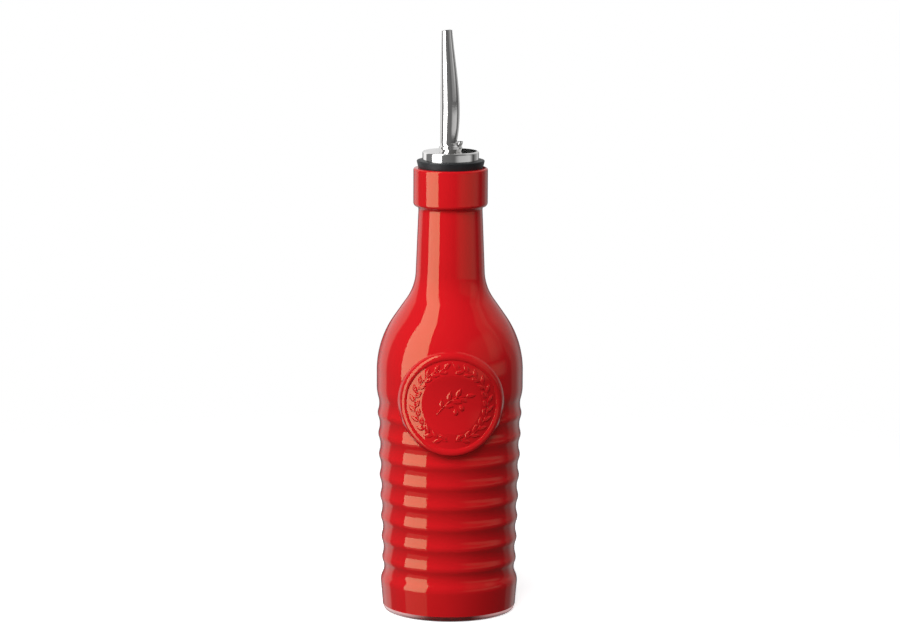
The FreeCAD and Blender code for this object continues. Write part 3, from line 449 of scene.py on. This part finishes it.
def seal_grid(wall, columns, rows):
    """Warps the square of the grid round the seal into rings, so that its edges follow the grid."""
    seal = wall.seal
    half = (len(columns) - 1) // 2
    side = wall.glass.body_radius * np.sin(columns)
    index = np.arange(-half, half + 1)
    across, up = np.meshgrid(index, index)
    number = np.maximum(abs(across), abs(up))
    safe = np.maximum(number, 1)
    flat = abs(across) >= abs(up)
    turn = pi / 4 * np.where(
        flat, np.where(across > 0, up / safe, 4 - up / safe),
        np.where(up > 0, 2 - across / safe, 6 + across / safe))
    # how far out the rings lie, by their share of the way to the grid's edge: they are closest on the rim
    inner, last_ring = seal.radius - seal.rim_width, 0.88
    shares = (0.0, 0.36, 0.50, 0.64, 0.68, last_ring)
    radii = (0.0, seal.dish_radius, inner - 0.5 * MM, inner + MM, seal.radius - 1.1 * seal.rim_flank,
             seal.radius + 0.4 * MM)
    reach = np.interp(number / half, shares, radii)
    round_x = reach * np.cos(turn)
    round_z = seal.height + reach * np.sin(turn)
    scale = half / safe
    edge_x = np.where(flat, np.sign(across) * side[-1], np.interp(across * scale, index, side))
    edge_z = np.where(flat, np.interp(up * scale, index, rows), np.where(up > 0, rows[-1], rows[0]))
    blend = np.clip((number / half - last_ring) / (1.0 - last_ring), 0.0, 1.0)
    x = round_x * (1 - blend) + edge_x * blend
    z = round_z * (1 - blend) + edge_z * blend
    # sideways places on the edge belong to the band's radius, and follow the wall's own outside it
    stretch = 1 + blend * (wall.radius(z) / wall.glass.body_radius - 1)
    return x * stretch, z


def lacquered(mesh, glass):
    """Which faces the lacquer covers: the outside above its edge, and the top of the lip."""
    def each(name):
        values = np.zeros(len(mesh.polygons) * 3)
        mesh.polygons.foreach_get(name, values)
        return values.reshape(-1, 3)

    centres, facing = each("center"), each("normal")
    across, height = np.hypot(centres[:, 0], centres[:, 1]), centres[:, 2]
    outward = (facing[:, :2] * centres[:, :2]).sum(axis=1) > 0
    beside = across > 0.3 * glass.body_radius
    lip = (height > glass.height - 1.3 * glass.mouth_round) & (across > glass.mouth_radius)
    return (height > glass.lacquer_edge) & (outward & beside | lip)


class OILBOTTLE_OT_glass(bpy.types.Operator):
    """Glass body, red outside and clear at its foot, with the raised seal on its front"""
    bl_idname = "oilbottle.glass"
    bl_label = "Glass body"

    def execute(self, context):
        glass, seal = context.scene.oil_glass, context.scene.oil_seal
        outline, root = outside_outline(glass, WALL_STEP)
        wall = Wall(glass, seal, outline)
        front = np.arcsin(np.linspace(-1, 1, 2 * SEAL_CELLS + 1) * sin(SEAL_TURN))
        back = np.linspace(SEAL_TURN, 2 * pi - SEAL_TURN, BACK_COLUMNS + 2)[1:-1]
        turns = np.concatenate([front, back])
        rows = seal.height + np.linspace(-SEAL_TALL, SEAL_TALL, 2 * SEAL_CELLS + 1)
        grid_x, grid_z = seal_grid(wall, front, rows)

        sheet = Sheet()
        close, (floor, punt) = closing_outline(glass, root, MESH_STEP)
        sheet.turned(under_outline(glass, floor, punt, MESH_STEP), turns)
        # rows on the lower half of the foot's corner, from there to the seal, and from the seal to the lip
        foot = glass.foot_corner * (1 + np.sin(np.linspace(-pi / 2, 0, 12)[1:6]))
        below = np.linspace(foot[-1] + 0.5 * MM, rows[0], BELOW_ROWS + 1)[:-1]
        above = np.linspace(rows[-1], outline.points[-1][1], ABOVE_ROWS + 1)[1:]
        for z in np.concatenate([foot, below, rows, above]):
            tilt = atan(wall.slope(z))
            points, normals = ring(wall.radius(z), z, turns), ring(cos(tilt), -sin(tilt), turns)
            if rows[0] <= z <= rows[-1]:
                row = int(round((z - rows[0]) / (rows[1] - rows[0])))
                points[:len(front)], normals[:len(front)] = wall.point(grid_x[row], grid_z[row])
            sheet.points.append(points)
            sheet.normals.append(normals)
        sheet.turned(close, turns)
        mesh = sheet.mesh("glass_bottle")
        mesh.materials.append(red_lacquer())
        mesh.materials.append(clear_glass())
        mesh.polygons.foreach_set("material_index", np.where(lacquered(mesh, glass), 0, 1).tolist())
        shown("glass_bottle", mesh, "bottle", "lacquered_glass", "bottle")
        return {"FINISHED"}


# ---- node graphs

class Term:
    """A socket that takes part in arithmetic, each operator adding its own Math node."""

    def __init__(self, graph, socket):
        self.graph, self.socket = graph, socket

    def do(self, operation, *others):
        return self.graph.term("ShaderNodeMath", dict(enumerate((self, *others))), {"operation": operation})

    def __add__(self, other):
        return self.do("ADD", other)

    def __sub__(self, other):
        return self.do("SUBTRACT", other)

    def __rsub__(self, other):
        return (self * -1.0) + other

    def __mul__(self, other):
        return self.do("MULTIPLY", other)

    def __truediv__(self, other):
        return self.do("DIVIDE", other)

    def __neg__(self):
        return self * -1.0

    __radd__ = __add__
    __rmul__ = __mul__


class Graph:
    """Adds nodes to a tree."""

    def __init__(self, tree):
        self.tree = tree

    def feed(self, node, inputs):
        """Gives a node's sockets their values or links."""
        for name, value in inputs.items():
            value = value.socket if isinstance(value, Term) else value
            if isinstance(value, bpy.types.NodeSocket):
                self.tree.links.new(value, node.inputs[name])
            else:
                node.inputs[name].default_value = value

    def node(self, kind, inputs=None, settings=None):
        """A node of that type, its settings made first, then its sockets' values or links."""
        node = self.tree.nodes.new(kind)
        for name, value in (settings or {}).items():
            setattr(node, name, value)
        self.feed(node, inputs or {})
        return node

    def term(self, kind, inputs=None, settings=None, output=0):
        return Term(self, self.node(kind, inputs, settings).outputs[output])

    def split(self, vector):
        """The three parts of a vector."""
        node = self.node("ShaderNodeSeparateXYZ", {0: vector})
        return [Term(self, socket) for socket in node.outputs]

    def vector(self, x=0.0, y=0.0, z=0.0):
        return self.term("ShaderNodeCombineXYZ", {0: x, 1: y, 2: z})


def noise(graph, place, scale, detail=2.0, roughness=0.5):
    """Noise of that many cells to the metre, centred on 0.5."""
    return graph.term("ShaderNodeTexNoise", {
        "Vector": place, "Scale": scale, "Detail": detail, "Roughness": roughness})


def ramp(graph, value, start, end, low=0.0, high=1.0):
    """From low to high as value goes from start to end, with soft ends."""
    return graph.term("ShaderNodeMapRange", {
        "Value": value, "From Min": start, "From Max": end, "To Min": low, "To Max": high},
        {"interpolation_type": "SMOOTHSTEP"})


def mix(graph, factor, low, high):
    """From the colour low to the colour high."""
    return graph.term("ShaderNodeMix", {
        "Factor": factor, 6: (*low, 1.0), 7: (*high, 1.0)}, {"data_type": "RGBA"}, 2)


def bump(graph, height, strength, distance):
    return graph.term("ShaderNodeBump", {"Height": height, "Strength": strength, "Distance": distance})


def new_finish(name):
    """A material with a Principled shader, the graph to build on and the place on the object."""
    material = bpy.data.materials.new(name)
    material.use_nodes = True
    material.node_tree.nodes.clear()
    graph = Graph(material.node_tree)
    shader = graph.node("ShaderNodeBsdfPrincipled")
    graph.node("ShaderNodeOutputMaterial", {"Surface": shader.outputs[0]})
    return material, graph, shader, graph.node("ShaderNodeTexCoord").outputs["Object"]


def red_lacquer():
    """Glossy lacquer over moulded glass: slow waves, faint peel, a little mottling."""
    look = bpy.context.scene.oil_finish
    material, graph, shader, place = new_finish("red_lacquer")
    mottle = noise(graph, place, 55.0, 3.0)
    wave, peel = noise(graph, place, 38.0, 1.0), noise(graph, place, 900.0)
    wear = noise(graph, place, 180.0, 4.0, 0.6)
    graph.feed(shader, {
        "Base Color": mix(graph, mottle, look.lacquer_deep, look.lacquer), "Roughness": wear * 0.03 + 0.02,
        "Normal": bump(graph, wave * look.wave + peel * 0.004, 0.35, 2 * MM), "IOR": 1.45,
        "Specular Tint": (*look.sheen, 1.0)})
    return material


def clear_glass():
    """The clear glass of the foot, the bore and the room for the oil.

    Its colour is painted darker in the middle of the front and the back, as painted shade for the lacquer
    that shows through there, and a painted glow lights the sides of the foot, standing for the light that
    it gathers from the ground.
    """
    look = bpy.context.scene.oil_finish
    material, graph, shader, place = new_finish("clear_glass")
    across, _, height = graph.split(place)
    # painted shade and light: set by the sideways place alone, darker in the middle of the front and back and
    # paler at the sides
    clear = ramp(graph, across.do("ABSOLUTE"), 8 * MM, 22 * MM)
    # painted glow: a low band on the sides of the foot that gives out light, though it is no lamp
    lit = clear * ramp(graph, height, 0.8 * MM, 2 * MM) * ramp(graph, height, 4 * MM, 5 * MM, 1.0, 0.0)
    graph.feed(shader, {
        "Base Color": mix(graph, clear, look.glass_painted_shade, look.glass), "Roughness": 0.02,
        "Transmission Weight": 0.6, "IOR": 1.5, "Normal": bump(graph, noise(graph, place, 60.0), 0.3, MM),
        "Emission Color": mix(graph, lit, BLACK, look.glass_painted_glow), "Emission Strength": 1.0})
    return material


def polished_steel():
    """Bright steel with fine wiping marks."""
    look = bpy.context.scene.oil_finish
    material, graph, shader, place = new_finish("polished_steel_finish")
    haze = noise(graph, place, 260.0, 4.0, 0.6)
    wipe = graph.term("ShaderNodeMapping", {"Vector": place, "Scale": (1.0, 1.0, 0.06)})
    grain = noise(graph, wipe, 2600.0)
    graph.feed(shader, {
        "Base Color": (*look.steel, 1.0), "Metallic": 1.0, "Roughness": haze * 0.06 + 0.05,
        "Normal": bump(graph, grain, 0.02, 0.1 * MM)})
    return material


def black_rubber():
    """Black rubber with a soft bloom and moulded grain."""
    look = bpy.context.scene.oil_finish
    material, graph, shader, place = new_finish("black_rubber_finish")
    bloom = noise(graph, place, 120.0, 4.0, 0.6)
    pale = [min(1.0, 2.2 * part + 0.004) for part in look.rubber]
    grain = noise(graph, place, 1400.0, 3.0)
    graph.feed(shader, {
        "Base Color": mix(graph, bloom, look.rubber, pale), "Roughness": bloom * 0.18 + 0.36,
        "Normal": bump(graph, grain, 0.25, 0.1 * MM), "Specular IOR Level": 0.25})
    return material


class OILBOTTLE_OT_pourer(bpy.types.Operator):
    """Steel and rubber finishes of the pourer"""
    bl_idname = "oilbottle.pourer"
    bl_label = "Pourer"

    def execute(self, context):
        steel, rubber = polished_steel(), black_rubber()
        for name in ("collar", "inlet_tube", "spout", "vent_tube", "stopper"):
            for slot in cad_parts[name].material_slots:
                slot.material = rubber if name == "stopper" else steel
        return {"FINISHED"}


# ---- what repeats: leaves of the seal and grip marks of the foot

def labelled(settings, *names):
    """Settings under the labels that a tree's inputs have."""
    return {name.replace("_", " ").title(): getattr(settings, name) for name in names}


def new_tree(name, labels):
    """The graph of a Geometry Nodes tree, and its inputs by label: geometry, one for each size, material."""
    tree = bpy.data.node_groups.new(name, "GeometryNodeTree")
    for label, kind in (("Geometry", "Geometry"), *((label, "Float") for label in labels),
                        ("Material", "Material")):
        tree.interface.new_socket(label, in_out="INPUT", socket_type="NodeSocket" + kind)
    tree.interface.new_socket("Geometry", in_out="OUTPUT", socket_type="NodeSocketGeometry")
    graph = Graph(tree)
    entry = graph.node("NodeGroupInput")
    return graph, {socket.name: Term(graph, socket) for socket in entry.outputs if socket.name}


def close_tree(graph, geometry, material):
    """Smooth shading, the material and the way out of the tree."""
    rounded = graph.term("GeometryNodeSetShadeSmooth", {"Geometry": geometry})
    finished = graph.term("GeometryNodeSetMaterial", {"Geometry": rounded, "Material": material})
    graph.node("NodeGroupOutput", {"Geometry": finished})
    return graph.tree


def grown(name, mesh, tree, sizes, material):
    """The plain mesh that the tree makes of this one. The modifier doesn't outlive the call."""
    seed = put(name, mesh)
    modifier = seed.modifiers.new(name, "NODES")
    modifier.node_group = tree
    sockets = {item.name: item.identifier for item in tree.interface.items_tree if item.in_out == "INPUT"}
    for label, value in {**sizes, "Material": bpy.data.materials[material]}.items():
        modifier[sockets[label]] = value
    view = bpy.context.evaluated_depsgraph_get()
    made = bpy.data.meshes.new_from_object(seed.evaluated_get(view))
    made.name = name
    bpy.data.objects.remove(seed)
    bpy.data.meshes.remove(mesh)
    return made


def square(term):
    return term * term


def leaf_shape(graph, size):
    """A pointed leaf, domed on both sides of its middle vein."""
    grid = graph.term("GeometryNodeMeshGrid", {
        "Size X": 2.0, "Size Y": 2.0, "Vertices X": 15, "Vertices Y": 9})
    along, across, _ = graph.split(graph.term("GeometryNodeInputPosition"))
    point, vein_width, vein_depth, sunk = 0.25, 0.25, 0.45, 0.12
    taper = 1.0 - square(along)
    dome = taper.do("POWER", 0.4) * (1.0 - square(across))
    vein = (1.0 - across.do("ABSOLUTE") / vein_width).do("MAXIMUM", 0.0) * taper * vein_depth
    wide = across * taper * (1.0 - along * point)
    spot = graph.vector(along * size["Leaf Length"] * 0.5, wide * size["Leaf Width"] * 0.5,
                        (dome - vein - sunk) * size["Leaf Rise"])
    return graph.term("GeometryNodeSetPosition", {"Geometry": grid, "Position": spot})


def seal_tree(labels):
    """Sprigs of leaves and olives on stems, drawn flat and then laid on the seal."""
    graph, size = new_tree("seal_sprigs", labels)
    kind, turn, scale = (
        graph.term("GeometryNodeInputNamedAttribute", {"Name": name}, {"data_type": "FLOAT"})
        for name in ("kind", "turn", "scale"))
    ball = graph.term("GeometryNodeMeshUVSphere", {
        "Segments": 16, "Rings": 10, "Radius": size["Olive Radius"]})
    olive = graph.term("GeometryNodeTransform", {"Geometry": ball, "Scale": (1.3, 1.0, 0.6)})
    joined = graph.node("GeometryNodeJoinGeometry")
    for shape, number in ((leaf_shape(graph, size), LEAF), (olive, OLIVE)):
        graph.feed(joined, {0: graph.term("GeometryNodeInstanceOnPoints", {
            "Points": size["Geometry"], "Selection": (kind - number).do("ABSOLUTE").do("LESS_THAN", 0.5),
            "Instance": shape, "Rotation": graph.vector(z=turn), "Scale": scale})})
    line = graph.term("GeometryNodeMeshToCurve", {"Mesh": size["Geometry"]})
    section = graph.term("GeometryNodeCurvePrimitiveCircle", {
        "Resolution": 8, "Radius": size["Stem Radius"]})
    graph.feed(joined, {0: graph.term("GeometryNodeCurveToMesh", {
        "Curve": line, "Profile Curve": section, "Fill Caps": True})})

    flat = graph.term("GeometryNodeRealizeInstances", {0: joined.outputs[0]})
    x, up, out = graph.split(graph.term("GeometryNodeInputPosition"))
    z = up + size["Height"]
    rise = (z - size["Shoulder Height"]).do("MAXIMUM", 0.0)
    curve = size["Shoulder Curve"]
    plain = size["Body Radius"] - curve + (square(curve) - square(rise)).do("SQRT")
    dish = (1.0 - (square(x) + square(up)) / square(size["Dish Radius"])).do("MAXIMUM", 0.0)
    level = plain + size["Field Relief"] - dish * size["Dish Depth"] + out
    spot = graph.vector(x, -(square(level) - square(x)).do("SQRT"), z)
    laid = graph.term("GeometryNodeSetPosition", {"Geometry": flat, "Position": spot})
    return close_tree(graph, laid, size["Material"])


def add_stem(points, edges, line):
    """Adds a stem that runs through those places."""
    start = len(points)
    points += [(*place, STEM, 0.0, 1.0) for place in line]
    edges += [(number, number + 1) for number in range(start, len(points) - 1)]


def polar(side, radius, around):
    return side * radius * cos(around), radius * sin(around)


def add_wreath(seal, points, edges):
    """Adds two bowed stems, with leaves on both sides of them and olives inside."""
    gap, steps, count = 0.11, 60, seal.leaf_count // 2
    low, sweep = gap - pi / 2, pi - 2 * gap
    aside, inward = 0.30 * seal.leaf_length, 0.36 * seal.leaf_length
    ahead = 0.25 * seal.leaf_length / seal.wreath_radius
    for side in (1, -1):
        add_stem(points, edges, [
            polar(side, seal.wreath_radius, low + sweep * step / steps) for step in range(steps + 1)])
        for number in range(count):
            around = low + sweep * (number + 0.5) / count
            outer = 1 if number % 2 else -1
            along = around + pi / 2 - outer * seal.leaf_tilt
            turn = along if side > 0 else pi - along
            middle = polar(side, seal.wreath_radius + outer * aside, around + ahead)
            points.append((*middle, LEAF, turn, 1.0))
            if number % 4 == 1:
                points.append((*polar(side, seal.wreath_radius - inward, around), OLIVE, turn, 0.75))


def add_sprig(seal, points, edges):
    """Adds a bowed stem in the middle of the seal, with paired leaves and two olives."""
    left, low, across, climb, bow = -6.6 * MM, -4.6 * MM, 12.6 * MM, 8.2 * MM, 2.2 * MM
    splay, stalk, steps = radians(42), 0.52 * seal.leaf_length, 24

    def place(way):
        return left + way * across, low + way * climb + bow * sin(pi * way)

    add_stem(points, edges, [place(step / steps) for step in range(steps + 1)])
    for way, side, scale in ((0.18, 1, 1.0), (0.26, -1, 1.05), (0.42, 1, 1.2), (0.5, -1, 1.2),
                             (0.68, 1, 1.15), (0.76, -1, 1.05), (1.0, 0, 1.1)):
        turn = atan2(climb + bow * pi * cos(pi * way), across) + side * splay
        points.append((*np.add(place(way), polar(1, stalk * scale, turn)), LEAF, turn, scale))
    for x, up, tilt in ((1.9, -3.4, -70), (4.4, -1.6, -62)):
        points.append((x * MM, up * MM, OLIVE, radians(tilt), 1.25))


class OILBOTTLE_OT_sprigs(bpy.types.Operator):
    """Wreath of olive leaves round the seal and a sprig in its middle"""
    bl_idname = "oilbottle.sprigs"
    bl_label = "Seal's sprigs"

    def execute(self, context):
        glass, seal = context.scene.oil_glass, context.scene.oil_seal
        # every point is (x, up, kind, turn, scale) on the flat seal
        points, edges = [], []
        add_wreath(seal, points, edges)
        add_sprig(seal, points, edges)
        mesh = bpy.data.meshes.new("sprig_points")
        mesh.from_pydata([(x, up, 0.0) for x, up, *_ in points], edges, [])
        for name, column in (("kind", 2), ("turn", 3), ("scale", 4)):
            layer = mesh.attributes.new(name, "FLOAT", "POINT")
            layer.data.foreach_set("value", [point[column] for point in points])
        sizes = {
            **labelled(seal, "leaf_length", "leaf_width", "leaf_rise", "olive_radius", "stem_radius",
                       "height", "field_relief", "dish_radius", "dish_depth"),
            **labelled(glass, "body_radius", "shoulder_height", "shoulder_curve")}
        made = grown("seal_sprigs", mesh, seal_tree(sizes), sizes, "red_lacquer")
        shown("seal_sprigs", made, "bottle", "lacquered_glass")
        return {"FINISHED"}


def grip_tree(labels):
    """A ring of short rounded marks on the foot's lower corner."""
    graph, size = new_tree("foot_grip", labels)
    points = graph.term("GeometryNodeMeshCircle", {
        "Vertices": size["Count"], "Radius": size["Ring Radius"]})
    ball = graph.term("GeometryNodeMeshUVSphere", {"Segments": 10, "Rings": 6, "Radius": 0.5})
    mark = graph.term("GeometryNodeTransform", {
        "Geometry": ball, "Scale": graph.vector(size["Length"], size["Width"], size["Rise"])})
    around = graph.term("GeometryNodeInputIndex") / size["Count"] * (2 * pi)
    placed = graph.term("GeometryNodeInstanceOnPoints", {
        "Points": points, "Instance": mark, "Rotation": graph.vector(y=-size["Tilt"], z=around)})
    real = graph.term("GeometryNodeRealizeInstances", {0: placed})
    lifted = graph.term("GeometryNodeSetPosition", {
        "Geometry": real, "Offset": graph.vector(z=size["Height"])})
    return close_tree(graph, lifted, size["Material"])


class OILBOTTLE_OT_grip(bpy.types.Operator):
    """Fine moulded marks round the clear foot"""
    bl_idname = "oilbottle.grip"
    bl_label = "Foot's grip marks"

    def execute(self, context):
        glass = context.scene.oil_glass
        lean = radians(42)
        sizes = {
            "Count": float(glass.grip_count), "Tilt": lean,
            "Ring Radius": glass.foot_radius + glass.foot_corner * sin(lean),
            "Height": glass.foot_corner * (1 - cos(lean)),
            "Length": glass.grip_length, "Width": 0.45 * glass.grip_length, "Rise": 0.26 * glass.grip_length}
        seed = bpy.data.meshes.new("grip_seed")
        made = grown("foot_grip", seed, grip_tree(sizes), sizes, "clear_glass")
        shown("foot_grip", made, "bottle", "lacquered_glass")
        return {"FINISHED"}


# ---- studio

def card(name, corners, material):
    """A flat piece of the stage with four corners."""
    mesh = bpy.data.meshes.new(name)
    mesh.from_pydata(corners, [], [(0, 1, 2, 3)])
    mesh.materials.append(material)
    return put(name, mesh)


def studio_floor(look):
    """Pale matt floor that looks white to the camera and through glass, and still takes a shadow."""
    material, graph, shader, place = new_finish("studio_floor")
    half, fade_from, fade_to = 0.6, 0.12, 0.5
    seen, seen_through = 0.72, 0.9
    path = graph.node("ShaderNodeLightPath").outputs
    through = Term(graph, path["Is Transmission Ray"]) * seen_through
    away = graph.term("ShaderNodeVectorMath", {0: place}, {"operation": "LENGTH"}, "Value")
    graph.feed(shader, {
        "Base Color": (*look.floor, 1.0), "Roughness": 0.9, "Specular IOR Level": 0.0,
        "Alpha": ramp(graph, away, fade_from, fade_to, 1.0, 0.0), "Emission Strength": 1.0,
        "Emission Color": (Term(graph, path["Is Camera Ray"]) * seen).do("MAXIMUM", through)})
    floor = card("studio_floor", [(-half, -half, 0), (half, -half, 0), (half, half, 0), (-half, half, 0)],
                 material)
    floor.visible_glossy = floor.visible_diffuse = False


def dark_card():
    """A black card far behind the collar, seen only in the gloss of its flat top."""
    material, graph, shader, _ = new_finish("dark_card")
    graph.feed(shader, {"Base Color": (*BLACK, 1.0), "Roughness": 1.0, "Specular IOR Level": 0.0})
    left, right, low, high, back = 0.034, 0.08, 0.29, 0.45, 1.5
    dark = card("dark_card", [(left, back, low), (right, back, low), (right, back, high), (left, back, high)],
                material)
    for kind in ("camera", "diffuse", "transmission", "shadow", "volume_scatter"):
        setattr(dark, f"visible_{kind}", False)


def lamp(name, energy, width, height, turn, lift, distance, aim=None, fade=0.0, rise=0.0):
    """A rectangular soft light that stands at that turn round the bottle and faces its axis.

    aim is the height on the axis that it faces, or None for its own. fade is the share of its size over
    which its edges go dark, and rise how much brighter than its middle the right side is.
    """
    data = bpy.data.lights.new(name, "AREA")
    if fade:
        data.use_nodes = True
        data.node_tree.nodes.clear()
        graph = Graph(data.node_tree)
        across, along, _ = graph.split(graph.node("ShaderNodeNewGeometry").outputs["Parametric"])
        inside = [ramp(graph, part.do("MINIMUM", 1.0 - part), 0.0, fade) for part in (across, along)]
        glow = graph.term("ShaderNodeEmission", {
            "Strength": inside[0] * inside[1] * (1.0 + (across * 2.0 - 1.0) * rise)})
        graph.node("ShaderNodeOutputLight", {"Surface": glow})
    data.shape = "RECTANGLE"
    data.size, data.size_y, data.energy = width, height, energy
    light = put(name, data)
    light.location = (distance * sin(turn), -distance * cos(turn), lift)
    way = Vector((0, 0, lift if aim is None else aim)) - light.location
    light.rotation_euler = way.to_track_quat("-Z", "Y").to_euler()
    light.visible_camera = False
    return light


def lamps(look):
    """What is mirrored and what lights the colours, set apart so that gloss doesn't wash them out."""
    left, right, far_right, middle, behind = (radians(turn) for turn in (-60, 57, 82, -20, 118))
    # width, height, turn, height of its middle, distance, height it faces, fade, rise
    for name, energy, place in (
            ("key_mirrored", look.key_mirrored, (0.37, 1.16, left, 0.52, 0.48)),
            ("table_mirrored", look.table_mirrored, (0.37, 0.19, left, -0.155, 0.48)),
            ("card_mirrored", look.card_mirrored, (1.3, 0.21, right, 0.1, 0.64, None, 0.32, 0.35)),
            ("high_mirrored", look.high_mirrored, (0.9, 0.56, right, 0.38, 0.64, None, 0.25, 0.35)),
            ("side_mirrored", look.side_mirrored, (0.41, 0.75, far_right, 0.575, 0.64, None, 0.15))):
        lamp(name, energy, *place).visible_diffuse = False
    for name, energy, place in (
            ("key_light", look.key, (0.36, 1.25, left, 0.42, 0.46)),
            ("card_light", look.card, (0.85, 0.8, right, 0.56, 0.62)),
            ("fill_light", look.fill, (0.6, 0.6, middle, 0.85, 0.75, 0.12)),
            ("back_light", look.back, (0.4, 0.9, behind, 0.42, 0.6, 0.3))):
        lamp(name, energy, *place).visible_glossy = False


def surroundings(scene):
    """White to the camera and through glass, faint to the lit colours, and a studio to gloss.

    In gloss it is dark in front, with white walls at both sides of the back and overhead, and a dark
    screen straight behind, low down.
    """
    world = scene.world = bpy.data.worlds.new("studio_world")
    world.use_nodes = True
    world.node_tree.nodes.clear()
    graph = Graph(world.node_tree)
    path = graph.node("ShaderNodeLightPath").outputs
    rightward, behind, upward = graph.split(graph.node("ShaderNodeTexCoord").outputs["Generated"])
    front, near_right, screen_dark, faint = 0.18, 0.55, 0.92, 0.12
    # how much of a way upward or to the side counts as backward, and how the light leans to the left
    up_share, up_lean, side_share, right_share = 0.42, 0.3, 0.135, 0.065
    level, lean = 0.77, 0.33
    overhead = upward.do("MAXIMUM", 0.0) * (up_share + rightward * up_lean)
    reach = behind + overhead + rightward.do("ABSOLUTE") * side_share + rightward * right_share
    wall, far_wall = ramp(graph, reach, 0.52, 0.61), ramp(graph, reach, 0.72, 0.88)
    near = ramp(graph, rightward, -0.2, 0.2, 1.0, near_right)
    white = front + wall * (near - front) + far_wall * (1.0 - near)
    low = ramp(graph, upward, 0.0, 0.08, 1.0, 0.0)
    screen = 1.0 - ramp(graph, behind, 0.78, 1.0, 0.0, screen_dark) * low
    duller = level - rightward * lean
    mirrored = Term(graph, path["Is Glossy Ray"])
    through = Term(graph, path["Is Camera Ray"]).do("MAXIMUM", path["Is Transmission Ray"])
    rest = (1.0 - through.do("MAXIMUM", mirrored)) * faint
    background = graph.term("ShaderNodeBackground", {
        "Color": (1.0, 1.0, 1.0, 1.0),
        "Strength": through + mirrored * (1.0 - through) * white * screen * duller + rest})
    graph.node("ShaderNodeOutputWorld", {"Surface": background})


def camera(scene, look):
    data = bpy.data.cameras.new("camera")
    data.lens = look.lens / MM
    data.sensor_width = 36.0
    data.clip_start, data.clip_end = 0.05, 60.0
    scene.camera = put("camera", data)
    turn, distance = look.camera_turn, look.camera_distance
    scene.camera.location = (distance * sin(turn), -distance * cos(turn), look.camera_height)
    aim = Vector((0.0, 0.0, look.aim_height)) - scene.camera.location
    lean = Quaternion((0.0, 0.0, 1.0), look.camera_roll)
    scene.camera.rotation_euler = (aim.to_track_quat("-Z", "Y") @ lean).to_euler()
    scene.view_settings.view_transform = "Standard"


class OILBOTTLE_OT_studio(bpy.types.Operator):
    """Floor, lamps, white surroundings and camera"""
    bl_idname = "oilbottle.studio"
    bl_label = "Studio"

    def execute(self, context):
        scene = context.scene
        studio_floor(scene.oil_studio)
        dark_card()
        lamps(scene.oil_studio)
        surroundings(scene)
        camera(scene, scene.oil_studio)
        return {"FINISHED"}


class OILBOTTLE_PT_panel(bpy.types.Panel):
    """The bottle's pieces, sizes and studio"""
    bl_idname = "OILBOTTLE_PT_panel"
    bl_label = "Oil bottle"
    bl_space_type = "VIEW_3D"
    bl_region_type = "UI"
    bl_category = "Oil bottle"

    def draw(self, context):
        layout = self.layout
        for group in GROUPS:
            settings = getattr(context.scene, group)
            box = layout.box()
            for name in settings.bl_rna.properties.keys():
                if name not in ("rna_type", "name"):
                    box.prop(settings, name)
        for operator in OPERATORS:
            layout.operator(operator.bl_idname)


OPERATORS = (OILBOTTLE_OT_glass, OILBOTTLE_OT_sprigs, OILBOTTLE_OT_grip, OILBOTTLE_OT_pourer,
             OILBOTTLE_OT_studio)
GROUPS = {"oil_glass": GlassSizes, "oil_seal": SealSizes, "oil_finish": FinishSettings,
          "oil_studio": StudioSettings}
CLASSES = (*GROUPS.values(), *OPERATORS, OILBOTTLE_PT_panel)


def register():
    for cls in CLASSES:
        bpy.utils.register_class(cls)
    for name, group in GROUPS.items():
        setattr(bpy.types.Scene, name, PointerProperty(type=group))


def unregister():
    for name in GROUPS:
        delattr(bpy.types.Scene, name)
    for cls in reversed(CLASSES):
        bpy.utils.unregister_class(cls)


def main():
    register()
    bpy.ops.oilbottle.glass()
    bpy.ops.oilbottle.sprigs()
    bpy.ops.oilbottle.grip()
    bpy.ops.oilbottle.pourer()
    bpy.ops.oilbottle.studio()


if __name__ == "__main__":
    main()
